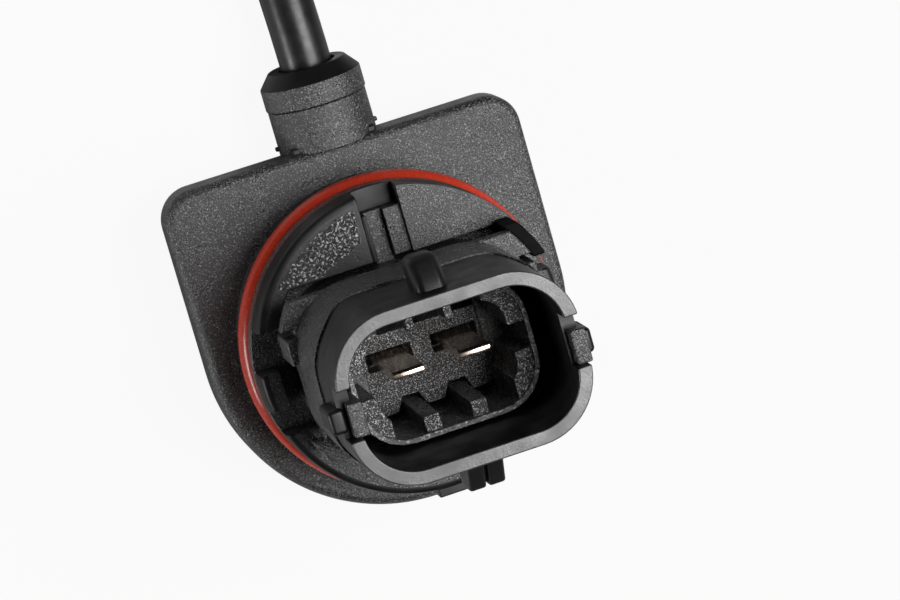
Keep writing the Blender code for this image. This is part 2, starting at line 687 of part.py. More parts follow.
def build_terminal_insert():
    """The cup that holds the blades: base, thin wall, corner blocks, ribs and the island."""
    half_y = SHROUD_HALF_Y - SHROUD_WALL - GAP
    low = SOCKET_FLOOR_Z + GAP
    floor = low + INSERT_BASE
    rooted = floor - GAP

    def wall_line(inset):
        return rounded_box(INSERT_HALF_X - inset, half_y - inset, INSERT_CORNER - inset)

    body = slab("insert", [wall_line(0.0)], low, floor)
    join(body, slab("insert_wall", [wall_line(0.0), wall_line(INSERT_WALL)], rooted, INSERT_TOP_Z))
    corner_top = INSERT_TOP_Z - CORNER_DROP
    corners = slab("insert_corners", [wall_line(INSERT_WALL / 2), wall_line(CORNER_THICKNESS)], rooted, corner_top)
    below = rooted - 1 * MM
    above = corner_top + 1 * MM
    cut(corners, box("low_opening", (-CORNER_LOW_X, -half_y, below), (CORNER_LOW_X, 0.0, above)))
    cut(corners, box("high_opening", (-CORNER_HIGH_X, 0.0, below), (CORNER_HIGH_X, half_y, above)))
    cut(corners, box("side_openings", (-INSERT_HALF_X, -CORNER_SIDE_GAP, below),
                     (INSERT_HALF_X, CORNER_SIDE_GAP, above)))
    join(body, corners)
    rib_top = INSERT_TOP_Z - RIB_DROP
    inner = half_y - INSERT_WALL
    for side in (-1, 1):
        join(body, box("low_rib", (side * LOW_RIB_X - LOW_RIB_WIDTH / 2, -inner - 0.1 * MM, rooted),
                       (side * LOW_RIB_X + LOW_RIB_WIDTH / 2, -inner + LOW_RIB_REACH, rib_top)))
        join(body, box("high_rib", (side * HIGH_RIB_X - HIGH_RIB_WIDTH / 2, inner - HIGH_RIB_REACH, rooted),
                       (side * HIGH_RIB_X + HIGH_RIB_WIDTH / 2, inner + 0.1 * MM, rib_top)))
    join(body, slab("island", [island_outline()], rooted, ISLAND_TOP_Z))
    slot_x = BLADE_WIDTH / 2 + GAP
    slot_y = BLADE_THICKNESS / 2 + GAP
    for side in (-1, 1):
        x_edges = sorted((side * POCKET_INNER_X, side * POCKET_OUTER_X))
        cut(body, box("island_pocket", (x_edges[0], -POCKET_HALF_Y, ISLAND_TOP_Z - POCKET_DEPTH),
                      (x_edges[1], POCKET_HALF_Y, ISLAND_TOP_Z + 1 * MM)))
        cut(body, box("insert_slot", (side * BLADE_X - slot_x, -slot_y, low - 1 * MM),
                      (side * BLADE_X + slot_x, slot_y, ISLAND_TOP_Z)))
    part(body, "terminal_insert", "dark_insert")


def build_terminals():
    """Two blades, each bent at its foot to a narrower tail that enters the crimp."""
    half = BLADE_THICKNESS / 2
    tail_low = GLAND_Z - half
    tail_high = GLAND_Z + half
    for side, name in ((-1, "terminal_left"), (1, "terminal_right")):
        x = side * BLADE_X
        profile = [(-half, tail_low), (2 * MM, tail_low), (2 * MM, tail_high), (half, tail_high),
                   (half, BLADE_TIP_Z - BLADE_POINT), (half * 0.4, BLADE_TIP_Z), (-half * 0.4, BLADE_TIP_Z),
                   (-half, BLADE_TIP_Z - BLADE_POINT)]
        blade = slab("blade", [profile], x - BLADE_WIDTH / 2, x + BLADE_WIDTH / 2, ALONG_X)
        join(blade, box("tail", (x - TAIL_WIDTH / 2, 1 * MM, tail_low), (x + TAIL_WIDTH / 2, TAIL_END_Y, tail_high)))
        part(blade, name, "tinned_brass")


def build_head_wiring():
    """The crimps on the terminals' tails and the two cores up to the cable's end."""
    bore = CORE_DIAMETER / 2 + GAP + 0.05 * MM
    start = TAIL_END_Y - CRIMP_OVERLAP
    core_start = TAIL_END_Y + GAP
    core_end = CABLE_START_Y - GAP
    for side, word, finish in ((-1, "left", "core_black"), (1, "right", "core_red")):
        place = Matrix.Translation((side * BLADE_X, 0.0, GLAND_Z)) @ TURN_TO_Y
        outer = bore + CRIMP_WALL
        end = start + CRIMP_LENGTH
        crimp = turned("crimp", [(bore, start), (outer, start), (outer, end), (bore, end)], 20, place)
        part(crimp, "crimp_" + word, "tinned_brass")
        near = side * CORE_SPACING / 2
        route = [Vector((side * BLADE_X, core_start, GLAND_Z)), Vector((side * BLADE_X, end + 0.3 * MM, GLAND_Z)),
                 Vector((near, core_end - 0.9 * MM, GLAND_Z)), Vector((near, core_end, GLAND_Z))]
        core = tube("core", route, CORE_DIAMETER)
        part(core, "head_core_" + word, finish)


def build_cable():
    cable = tube("cable", smooth_line(cable_route(), CABLE_READ_STEP), CABLE_DIAMETER)
    part(cable, "cable", "black_rubber")


def build_coil_tie():
    """A flat band round the two strands that run side by side."""
    middle = (coil_point(TIE_TURN) + coil_point(TIE_TURN + 1.0)) / 2
    half_x = COIL_PITCH / 2 + CABLE_DIAMETER / 2 + GAP
    half_z = CABLE_DIAMETER / 2 + GAP
    hole = rounded_box(half_z, half_x, half_z * 0.95)
    band = rounded_box(half_z + TIE_BAND, half_x + TIE_BAND, half_z * 0.95 + TIE_BAND)
    tie = slab("tie", [band, hole], -TIE_WIDTH / 2, TIE_WIDTH / 2, ALONG_Y)
    angle = math.pi - 2.0 * math.pi * TIE_TURN
    place = Matrix.Translation((middle.x, middle.y, half_z + TIE_BAND)) @ Matrix.Rotation(angle, 4, "Z")
    tie.matrix_world = place @ tie.matrix_world
    part(tie, "coil_tie", "tie_nylon")


def build_probe_foot():
    """The probe's foot: a hollow block with the cable stub, two bush holes and the guard's spigot."""
    centre = ((FOOT_LEFT_X + FOOT_RIGHT_X) / 2, (FOOT_FRONT_Y + FOOT_BACK_Y) / 2)
    half_x = (FOOT_RIGHT_X - FOOT_LEFT_X) / 2
    half_y = (FOOT_BACK_Y - FOOT_FRONT_Y) / 2
    body = slab("probe_foot", [rounded_box(half_x, half_y, FOOT_CORNER, centre)], 0.0, FOOT_HEIGHT)
    round_top_edge(body, FOOT_HEIGHT, FOOT_EDGE_ROUND)
    spigot_radius = GUARD_RADIUS - GUARD_WALL - GAP
    at_guard = Matrix.Translation((GUARD_X, GUARD_Y, 0.0))
    spigot_top = FOOT_HEIGHT + SPIGOT_HEIGHT
    join(body, cylinder("spigot", spigot_radius, FOOT_HEIGHT - OVERLAP, spigot_top, 40, at_guard))
    add_gland_stub(body, PROBE_GLAND_X, PROBE_STUB_END_Y, FOOT_BACK_Y, GAP, FOOT_HEIGHT - OVERLAP)
    inner = cavity_edges()
    roof = FOOT_HEIGHT - FOOT_ROOF
    cut(body, box("lead_cavity", (inner[0], inner[2], -1 * MM), (inner[1], inner[3], roof)))
    bore_gland_stub(body, PROBE_GLAND_X, PROBE_STUB_END_Y, inner[3])
    cut(body, box("former_seat", (GUARD_X - FORMER_HALF_WIDTH - GAP, GUARD_Y - FORMER_THICKNESS / 2 - GAP,
                                  FOOT_HEIGHT + OVERLAP),
                  (GUARD_X + FORMER_HALF_WIDTH + GAP, GUARD_Y + FORMER_THICKNESS / 2 + GAP, spigot_top + 1 * MM)))
    for side in (-1, 1):
        at_post = Matrix.Translation((GUARD_X + side * POST_X, GUARD_Y + WIRE_OFFSET_Y, 0.0))
        cut(body, cylinder("post_hole", POST_RADIUS + GAP, roof - OVERLAP, spigot_top + 1 * MM, 16, at_post))
    for bush_y in (BUSH_LOW_Y, BUSH_HIGH_Y):
        at_bush = Matrix.Translation((BUSH_X, bush_y, 0.0))
        cut(body, cylinder("bush_hole", BUSH_RADIUS + GAP, -1 * MM, FOOT_HEIGHT + 1 * MM, 28, at_bush))
    part(body, "probe_foot", "black_moulding")


def cavity_edges():
    """Left, right, front and back of the cavity in the probe's foot."""
    return LEAD_CAVITY_LEFT_X, FOOT_RIGHT_X - FOOT_WALL, LEAD_CAVITY_FRONT_Y, FOOT_BACK_Y - FOOT_WALL


def build_foot_fittings():
    """The cover under the foot's cavity and the two steel bushes."""
    left, right, front, back = cavity_edges()
    centre = ((left + right) / 2, (front + back) / 2)
    outline = rounded_box((right - left) / 2 - GAP, (back - front) / 2 - GAP, 0.4 * MM, centre, 3)
    part(slab("foot_cover", [outline], 0.0, FOOT_COVER_THICKNESS), "probe_foot_cover", "black_moulding")
    for bush_y, name in ((BUSH_LOW_Y, "bush_front"), (BUSH_HIGH_Y, "bush_back")):
        place = Matrix.Translation((BUSH_X, bush_y, 0.0))
        ring = [(BUSH_BORE, 0.0), (BUSH_RADIUS, 0.0), (BUSH_RADIUS, FOOT_HEIGHT), (BUSH_BORE, FOOT_HEIGHT)]
        part(turned("bush", ring, 28, place), name, "steel")


def build_guard():
    """The slotted guard tube and the cap pressed into its top."""
    low = FOOT_HEIGHT + GAP
    high = low + GUARD_LENGTH
    place = Matrix.Translation((GUARD_X, GUARD_Y, 0.0))
    inner = GUARD_RADIUS - GUARD_WALL
    guard = turned("guard", [(inner, low), (GUARD_RADIUS, low), (GUARD_RADIUS, high), (inner, high)], 40, place)
    slot = GUARD_SLOT_WIDTH / 2
    reach = GUARD_RADIUS + 1 * MM
    for half_x, half_y in ((slot, reach), (reach, slot)):
        cut(guard, box("guard_slot", (GUARD_X - half_x, GUARD_Y - half_y, low + GUARD_SLOT_MARGIN),
                       (GUARD_X + half_x, GUARD_Y + half_y, high - GUARD_SLOT_MARGIN)))
    part(guard, "probe_guard", "black_moulding")
    cap_low = high + GAP
    disc = cylinder("probe_cap", GUARD_RADIUS, cap_low, cap_low + CAP_DISC_THICKNESS, 40, place)
    round_top_edge(disc, cap_low + CAP_DISC_THICKNESS, CAP_EDGE_ROUND)
    spigot_low = high - SPIGOT_HEIGHT
    join(disc, cylinder("cap_spigot", inner - GAP, spigot_low, cap_low + OVERLAP, 40, place))
    cut(disc, cylinder("cap_vent", CAP_VENT_RADIUS, spigot_low - 1 * MM, cap_low + 3 * MM, 20, place))
    part(disc, "probe_cap", "black_moulding")
    return spigot_low - GAP


def build_hot_wire(former_top):
    """The blade in the guard, its two pegs, the hot wire bent over them and its posts and leads."""
    half = FORMER_THICKNESS / 2
    low = FOOT_HEIGHT + OVERLAP + GAP
    former = box("former", (GUARD_X - FORMER_HALF_WIDTH, GUARD_Y - half, low),
                 (GUARD_X + FORMER_HALF_WIDTH, GUARD_Y + half, former_top))
    peg_z = former_top - PEG_DROP
    for side in (-1, 1):
        place = Matrix.Translation((GUARD_X + side * PEG_X, GUARD_Y, peg_z)) @ TURN_TO_Y
        join(former, cylinder("peg", PEG_RADIUS, 0.0, WIRE_OFFSET_Y + OVERLAP, 16, place))
    part(former, "wire_former", "pale_nylon")
    wire_y = GUARD_Y + WIRE_OFFSET_Y
    bend = POST_X - PEG_X
    over = [(GUARD_X - POST_X, POST_HIGH_Z + GAP)]
    over += arc(bend, 180.0, 90.0, 5, (GUARD_X - PEG_X, peg_z))
    over += arc(bend, 90.0, 0.0, 5, (GUARD_X + PEG_X, peg_z))
    over += [(GUARD_X + POST_X, POST_HIGH_Z + GAP)]
    wire = tube("wire", [Vector((x, wire_y, z)) for x, z in over], WIRE_DIAMETER)
    part(wire, "hot_wire", "steel")
    lead_end = wire_y + POST_RADIUS + GAP
    lead_start = ENTRY_POINTS[-1][1] * MM - GAP
    for side, word, finish in ((-1, "left", "core_black"), (1, "right", "core_red")):
        post_x = GUARD_X + side * POST_X
        at_post = Matrix.Translation((post_x, wire_y, 0.0))
        part(cylinder("post", POST_RADIUS, POST_LOW_Z, POST_HIGH_Z, 16, at_post), "post_" + word, "tinned_brass")
        core_x = PROBE_GLAND_X + side * CORE_SPACING / 2
        route = [(core_x, lead_start), (core_x, lead_start - 1 * MM), (post_x, lead_end + 1 * MM), (post_x, lead_end)]
        core = tube("core", [Vector((x, y, GLAND_Z)) for x, y in route], CORE_DIAMETER)
        part(core, "probe_core_" + word, finish)


def main():
    for obj in list(bpy.data.objects):
        bpy.data.objects.remove(obj, do_unlink=True)
    build_housing()
    build_back_cover()
    build_seal_ring()
    build_terminal_insert()
    build_terminals()
    build_head_wiring()
    build_gland("head", 0.0, STUB_END_Y)
    build_cable()
    build_coil_tie()
    build_probe_foot()
    build_foot_fittings()
    build_gland("probe", PROBE_GLAND_X, PROBE_STUB_END_Y)
    build_hot_wire(build_guard())


if __name__ == "__main__":
    main()
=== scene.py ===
"""Looks of the oil level sensor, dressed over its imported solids.

The file is laid out as an add-on: a settings group for each kind of piece, one operator for each piece or
group of like pieces, and a panel that lists them. Run as a script it makes everything once, in order.
Lengths are in metres. The origin is on the head's back face, +Z towards the plug, +Y along the cable gland.
"""
import math
import random

import bmesh
import bpy
from bpy.props import FloatProperty, FloatVectorProperty, IntProperty, PointerProperty
from mathutils import Euler, Matrix, Vector


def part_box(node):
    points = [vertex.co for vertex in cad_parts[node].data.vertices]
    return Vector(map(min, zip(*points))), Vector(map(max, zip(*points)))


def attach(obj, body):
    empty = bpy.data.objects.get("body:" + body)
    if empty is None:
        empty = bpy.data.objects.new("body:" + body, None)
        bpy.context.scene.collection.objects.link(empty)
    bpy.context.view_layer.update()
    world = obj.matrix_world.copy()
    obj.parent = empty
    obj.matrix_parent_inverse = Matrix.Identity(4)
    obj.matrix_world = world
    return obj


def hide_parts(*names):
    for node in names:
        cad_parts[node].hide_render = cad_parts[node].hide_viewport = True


bl_info = {
    "name": "Oil level sensor",
    "version": (1, 0, 0),
    "blender": (4, 5, 0),
    "location": "3D View > Sidebar > Oil sensor",
    "description": "Dresses the packed solids of an oil level sensor with its finishes, lead and studio",
    "category": "Object",
}

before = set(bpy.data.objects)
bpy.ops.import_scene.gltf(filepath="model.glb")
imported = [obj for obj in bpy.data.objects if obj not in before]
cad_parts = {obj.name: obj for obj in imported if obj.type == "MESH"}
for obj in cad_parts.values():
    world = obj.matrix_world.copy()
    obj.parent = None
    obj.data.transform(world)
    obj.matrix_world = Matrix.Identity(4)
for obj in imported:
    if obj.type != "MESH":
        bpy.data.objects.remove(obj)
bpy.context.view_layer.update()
MM = 0.001
ROOT = "root"

# The lead's own points, as the part's source has them, in millimetres
LEAD_START_POINTS = ((0.0, 13.4, 4.6), (0.0, 19.0, 4.6), (0.0, 26.0, 4.45), (0.0, 32.0, 3.5),
                     (0.0, 38.0, 2.6), (0.0, 45.0, 2.32))
LEAD_END_POINTS = ((17.3, 71.0, 2.32), (23.7, 71.5, 2.5), (29.7, 69.0, 3.1), (33.9, 64.1, 4.0),
                   (35.4, 57.8, 4.5), (35.4, 54.6, 4.6), (35.4, 49.5, 4.6))
COIL_CENTRE = (27.0 * MM, 52.4 * MM)
COIL_STEPS_PER_TURN = 16
LEAD_READ_STEP = 2.0 * MM
LEAD_FINE_STEPS = 20
TIE_TURN = 0.10
TIE_RISE_TURNS = 0.05
TIE_RISE = 0.88 * MM

# The photograph's camera: its place, its turn in degrees and its lens on a 36 mm sensor
CAMERA_PLACE = (-58.51 * MM, 78.62 * MM, 368.89 * MM)
CAMERA_TURN = (-8.841, -13.054, -16.051)
CAMERA_LENS = 168.87
SENSOR_WIDTH = 36.0

# Where the lamps hang, how wide and high they are, and what they point at
KEY_PLACE = (0.20, 0.00, 0.45)
KEY_SIZE = (0.35, 0.29)
STRIP_PLACE = (-0.32, -0.04, 0.095)
STRIP_SIZE = (0.16, 0.06)
LAMP_TARGET = (0.0, 0.0, 0.02)

# A shape drawn in (y, z) and thickened along X, and one turned about Z that is laid along Y
ALONG_X = Matrix(((0, 0, 1, 0), (1, 0, 0, 0), (0, 1, 0, 0), (0, 0, 0, 1)))
TURN_TO_Y = Matrix.Rotation(-math.pi / 2, 4, "X")

# Edges that turn by more than the first are rounded. Finished ones that turn by less than the second are
# shaded smooth.
SHARP_ANGLE = math.radians(35)
SMOOTH_ANGLE = math.radians(38)

# Places that are closer than this count as the same
TOLERANCE = 0.001 * MM

# The housing's finishes, by their place in its list of materials
TEXTURED, SMOOTH, FLAKY, RIM_SHEEN, SATIN, PAINTED_SHADE = range(6)
HOUSING_FINISHES = ("textured_moulding", "smooth_moulding", "flaky_moulding", "rim_moulding",
                    "satin_moulding", "recess_moulding")

# The stretch that most of a noise texture's values lie in
NOISE_LOW = 0.3
NOISE_HIGH = 0.7


def length(label, description, millimetres):
    """A length setting, written in millimetres."""
    return FloatProperty(name=label, description=description, default=millimetres * MM, min=0.0,
                         precision=5, unit="LENGTH")


def colour(label, description, value):
    """A colour setting."""
    return FloatVectorProperty(name=label, description=description, default=value, size=3, min=0.0, max=1.0,
                               subtype="COLOR")


def amount(label, description, value, highest=1.0):
    """A plain number setting."""
    return FloatProperty(name=label, description=description, default=value, min=0.0, max=highest,
                         precision=3)


class SENSOR_PG_head(bpy.types.PropertyGroup):
    """Sizes of the head's moulding and what it holds."""
    plate_half: length("Plate half width", "Half the flange plate's width", 16.5)
    plate_top: length("Plate top", "From the boss's axis to the plate's straight edge", 16.7)
    plate_corner: length("Plate corner", "Radius of the plate's two corners", 3.0)
    plate_low: length("Plate back", "Height of the plate's back face", 5.0)
    plate_front: length("Plate front", "Height of the plate's front face", 8.6)
    plate_round: length("Plate edge", "Round on the plate's front edge", 0.9)
    box_inset: length("Box inset", "How far the back box stands in from the plate's edge", 2.0)
    box_low: length("Box back", "Height of the back box's open side", 1.5)
    boss: length("Boss radius", "Radius of the round boss", 13.65)
    groove_floor: length("Groove floor", "Radius of the seal ring groove's floor", 11.4)
    groove_low: length("Groove low", "Height of the groove's lower wall", 10.85)
    groove_high: length("Groove high", "Height of the groove's upper wall", 13.95)
    channel: length("Channel floor", "Height of the channel's floor", 15.5)
    segment: length("Segment top", "Height of the raised segments' tops", 18.3)
    chord: length("Chord", "From the boss's axis to the segments' straight edges", 7.5)
    lip: length("Lip width", "Width of the lips that run on from the segments", 1.85)
    lip_end: length("Lip end", "From the boss's X axis to the lips' ends", 4.6)
    rim_chamfer: length("Segment chamfer", "Chamfer on the segments' outer edges", 0.7)
    shroud_x: length("Shroud half length", "Half the plug shroud's length along X", 10.55)
    shroud_y: length("Shroud half width", "Half the plug shroud's width along Y", 7.45)
    shroud_corner: length("Shroud corner", "Corner radius of the shroud", 5.6)
    shroud_wall: length("Shroud wall", "Thickness of the shroud's wall", 1.22)
    rim: length("Rim height", "Height of the shroud's rim", 38.1)
    edge: length("Edge round", "Round on the moulding's other edges", 0.22)


class SENSOR_PG_lead(bpy.types.PropertyGroup):
    """Sizes of the lead and its coil."""
    diameter: length("Diameter", "Outside diameter of the lead", 4.6)
    coil_radius: length("Coil radius", "Radius at the coil's start", 27.0)
    coil_pitch: length("Coil pitch", "How much the coil's radius falls in a turn", 4.9)
    coil_height: length("Coil height", "Height of the lead's centre where it lies on the floor", 2.32)
    coil_turns: amount("Coil turns", "Number of turns in the coil", 1.13, 10.0)
    sides: IntProperty(name="Sides", description="Faces round the lead", default=40, min=8, max=128)


class SENSOR_PG_finish(bpy.types.PropertyGroup):
    """Colours and grain of the finishes."""
    black: colour("Black moulding", "Glass-filled black moulding", (0.013, 0.0125, 0.013))
    fleck: colour("Fleck", "Bright flecks in the black moulding", (0.26, 0.26, 0.265))
    insert: colour("Insert", "Dark moulding that holds the blades", (0.016, 0.014, 0.0135))
    silicone: colour("Silicone", "Red silicone of the seal ring", (0.56, 0.038, 0.014))
    sheath: colour("Sheath", "Black sheath of the lead", (0.010, 0.010, 0.011))
    blade: colour("Blade", "Tinned face of the blades", (0.93, 0.78, 0.64))
    steel: colour("Steel", "Steel of the bushes and the wire", (0.58, 0.58, 0.60))
    nylon: colour("Pale nylon", "Pale blade that carries the wire", (0.60, 0.57, 0.49))
    core_red: colour("Red core", "Red insulation of one core", (0.42, 0.03, 0.02))
    grain: length("Grain size", "Size of the grain on textured faces", 0.19)
    fleck_size: length("Fleck size", "Size of the flecks on textured faces", 0.13)


class SENSOR_PG_studio(bpy.types.PropertyGroup):
    """Lamps, floor and background."""
    key: amount("Key lamp", "Power of the wide lamp over the object", 3.0, 100.0)
    strip: amount("Strip lamp", "Power of the narrow lamp low at the left", 0.5, 100.0)
    ambient: amount("Ambient", "Strength of the plain surroundings", 0.03, 10.0)
    floor: colour("Floor", "Colour of the floor under the object", (0.40, 0.40, 0.40))
    whiteness: amount("Whiteness", "How much of the floor is shown as plain white", 0.93)


def arc(radius, start, end, steps, centre=(0.0, 0.0)):
    """Points on an arc from one angle to another, in degrees."""
    points = []
    for index in range(steps + 1):
        angle = math.radians(start + (end - start) * index / steps)
        points.append((centre[0] + radius * math.cos(angle), centre[1] + radius * math.sin(angle)))
    return points


def rounded_box(half_x, half_y, corner, steps=14):
    """Outline of a box with round corners, centred, counter-clockwise from its right side."""
    points = []
    for side_x, side_y, start in ((1, 1, 0), (-1, 1, 90), (-1, -1, 180), (1, -1, 270)):
        middle = (side_x * (half_x - corner), side_y * (half_y - corner))
        points += arc(corner, start, start + 90, steps, middle)
    return points


def rectangle(low_x, low_y, high_x, high_y):
    """Outline of a rectangle, counter-clockwise."""
    return [(low_x, low_y), (high_x, low_y), (high_x, high_y), (low_x, high_y)]


def clip(outline, across, along, reach):
    """Keep the part of an outline where across * x + along * y is at least reach."""
    kept = []
    for start, end in zip(outline, outline[1:] + outline[:1]):
        before = across * start[0] + along * start[1] - reach
        after = across * end[0] + along * end[1] - reach
        if before >= 0:
            kept.append(start)
        if before * after < 0:
            share = before / (before - after)
            kept.append((start[0] + (end[0] - start[0]) * share, start[1] + (end[1] - start[1]) * share))
    return kept


def right_part(outline, x):
    return clip(outline, 1, 0, x)


def left_part(outline, x):
    return clip(outline, -1, 0, -x)


def upper_part(outline, y):
    return clip(outline, 0, 1, y)


def lower_part(outline, y):
    return clip(outline, 0, -1, -y)


def lies_at(edge, height):
    """Whether both ends of an edge lie at one height."""
    return all(abs(vert.co.z - height) < TOLERANCE for vert in edge.verts)


def is_sharp(edge):
    """Whether the two faces at an edge turn clearly."""
    return len(edge.link_faces) == 2 and edge.calc_face_angle() >= SHARP_ANGLE


def bevel(shape, edges, width, segments, profile=0.5):
    """Round the chosen edges of a shape."""
    bmesh.ops.bevel(shape, geom=edges, offset=width, segments=segments, profile=profile, affect="EDGES",
                    clamp_overlap=True)


def round_edges(shape, width, segments, skip_height=None):
    """Round the sharp edges of a shape, apart from those at one height."""
    chosen = [edge for edge in shape.edges
              if is_sharp(edge) and (skip_height is None or not lies_at(edge, skip_height))]
    if chosen and width > 0:
        bevel(shape, chosen, width, segments)
    return shape


def join_loops(shape, first, second):
    """Make the faces between two loops with as many vertices each."""
    for index, vert in enumerate(first):
        after = (index + 1) % len(first)
        shape.faces.new((vert, first[after], second[after], second[index]))


def prism(outline, low, high, edge=0.0, segments=3, round_low=False):
    """An outline thickened from low to high, with its free edges rounded."""
    shape = bmesh.new()
    below = [shape.verts.new((x, y, low)) for x, y in outline]
    above = [shape.verts.new((x, y, high)) for x, y in outline]
    shape.faces.new(list(reversed(below)))
    shape.faces.new(above)
    join_loops(shape, below, above)
    bmesh.ops.recalc_face_normals(shape, faces=shape.faces)
    return round_edges(shape, edge, segments, None if round_low else low)


def round_level(shape, height, width, segments):
    """Round the edges of a shape that lie at one height."""
    bevel(shape, [edge for edge in shape.edges if lies_at(edge, height) and is_sharp(edge)], width, segments)


def ring(outer, inner, low, high):
    """The wall between two outlines with as many points each, from low to high."""
    shape = bmesh.new()
    loops = []
    for outline, height in ((outer, low), (outer, high), (inner, high), (inner, low)):
        loops.append([shape.verts.new((x, y, height)) for x, y in outline])
    for first, second in zip(loops, loops[1:] + loops[:1]):
        join_loops(shape, first, second)
    bmesh.ops.recalc_face_normals(shape, faces=shape.faces)
    return shape


def lathe(profile, steps, edge):
    """A closed profile of (radius, height) points turned about Z. Points on the axis close the shape."""
    shape = bmesh.new()
    rows = []
    for radius, height in profile:
        if radius <= 0.0:
            rows.append([shape.verts.new((0.0, 0.0, height))])
            continue
        around = arc(radius, 0.0, 360.0, steps)[:-1]
        rows.append([shape.verts.new((x, y, height)) for x, y in around])
    for first, second in zip(rows, rows[1:] + rows[:1]):
        if len(first) == 1 and len(second) == 1:
            continue
        for index in range(steps):
            after = (index + 1) % steps
            corners = []
            for row, place in ((first, index), (first, after), (second, after), (second, index)):
                vert = row[0] if len(row) == 1 else row[place]
                if vert not in corners:
                    corners.append(vert)
            shape.faces.new(corners)
    bmesh.ops.recalc_face_normals(shape, faces=shape.faces)
    return round_edges(shape, edge, 3)


def add(target, shape, finish=0, place=None):
    """Move a shape into the target shape, with its finish's number."""
    if place is not None:
        shape.transform(place)
    for face in shape.faces:
        face.material_index = finish
    carried = bpy.data.meshes.new("carried")
    shape.to_mesh(carried)
    shape.free()
    target.from_mesh(carried)
    bpy.data.meshes.remove(carried)


def add_block(target, finish_number, x_reach, y_reach, z_reach, edge, segments=3):
    """Add a box with all its edges rounded, given from where to where it runs along X, Y and Z."""
    low_x, high_x = sorted(x_reach)
    outline = rectangle(low_x, y_reach[0], high_x, y_reach[1])
    add(target, prism(outline, *z_reach, edge, segments, round_low=True), finish_number)


def mesh_of(name, shape, finishes):
    """A mesh with its finishes, made from a shape that is then used up."""
    mesh = bpy.data.meshes.new(name)
    shape.to_mesh(mesh)
    shape.free()
    for found in finishes:
        mesh.materials.append(bpy.data.materials[found])
    return mesh


def new_object(name, data):
    """An object of the scene that holds the data."""
    made = bpy.data.objects.new(name, data)
    bpy.context.scene.collection.objects.link(made)
    return made


def make_piece(name, shape, finishes, node):
    """Turn a shape into a finished piece that rides on the root body and stands for its CAD node."""
    mesh = mesh_of(name, shape, finishes)
    mesh.shade_smooth()
    mesh.set_sharp_from_angle(angle=SMOOTH_ANGLE)
    piece = new_object(name, mesh)
    piece.modifiers.new("flat faces stay flat", "WEIGHTED_NORMAL").keep_sharp = True
    return settle(piece, node)


def settle(piece, node):
    """Make a piece ride on the root body and the CAD node that it stands for."""
    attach(piece, ROOT)
    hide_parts(node)
    return piece


def merged_copy(node):
    """A CAD node's shape with its doubles merged and its flat faces whole."""
    shape = bmesh.new()
    shape.from_mesh(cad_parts[node].data)
    bmesh.ops.remove_doubles(shape, verts=shape.verts, dist=0.002 * MM)
    bmesh.ops.dissolve_limit(shape, angle_limit=math.radians(0.8), verts=shape.verts, edges=shape.edges)
    for face in shape.faces:
        face.material_index = 0
    return shape


def dress(node, finish_name, edge):
    """Stand a copy of a CAD node, with its edges rounded, in the node's place."""
    shape = round_edges(merged_copy(node), edge, 2)
    return make_piece(node + "_dressed", shape, [finish_name], node)


def sweep_tube(name, points, closed, radius, sides, finish_name, node):
    """Sweep a tube through the points and keep it as a plain finished piece."""
    mesh = bpy.data.meshes.new(name + "_line")
    edges = [(index, index + 1) for index in range(len(points) - 1)]
    if closed:
        edges.append((len(points) - 1, 0))
    mesh.from_pydata([tuple(point) for point in points], edges, [])
    carrier = new_object(name, mesh)
    modifier = carrier.modifiers.new("build", "NODES")
    modifier.node_group = bpy.data.node_groups["Tube along a line"]
    values = {"Radius": radius, "Sides": sides, "Material": bpy.data.materials[finish_name]}
    for item in modifier.node_group.interface.items_tree:
        if item.item_type == "SOCKET" and item.in_out == "INPUT" and item.name in values:
            modifier[item.identifier] = values[item.name]
    bpy.context.view_layer.update()
    graph = bpy.context.evaluated_depsgraph_get()
    result = bpy.data.meshes.new_from_object(carrier.evaluated_get(graph))
    carrier.modifiers.remove(modifier)
    carrier.data = result
    result.name = name
    bpy.data.meshes.remove(mesh)
    return settle(carrier, node)


def new_node(tree, kind, values=(), **settings):
    """A node of a tree, with its settings and the values of some of its inputs."""
    made = tree.nodes.new(kind)
    for label, value in settings.items():
        setattr(made, label, value)
    for label, value in dict(values).items():
        made.inputs[label].default_value = value
    return made


class Tree:
    """Short words for building a node tree."""

    def __init__(self, name, kind, inputs=(), outputs=()):
        self.tree = bpy.data.node_groups.new(name, kind)
        for label, socket, value in inputs:
            made = self.tree.interface.new_socket(label, in_out="INPUT", socket_type=socket)
            if value is not None:
                made.default_value = value
        for label, socket in outputs:
            self.tree.interface.new_socket(label, in_out="OUTPUT", socket_type=socket)
        self.inputs = self.tree.nodes.new("NodeGroupInput")
        self.outputs = self.tree.nodes.new("NodeGroupOutput")

    def node(self, kind, values=(), **settings):
        return new_node(self.tree, kind, values, **settings)

    def link(self, source, target):
        self.tree.links.new(source, target)

    def chain(self, source, *steps):
        """Link a source through the first input and output of each step."""
        for step in steps:
            self.link(source, step.inputs[0])
            source = step.outputs[0]
        return source

    def source(self, label):
        return self.inputs.outputs[label]

    def result(self, label, source):
        self.link(source, self.outputs.inputs[label])


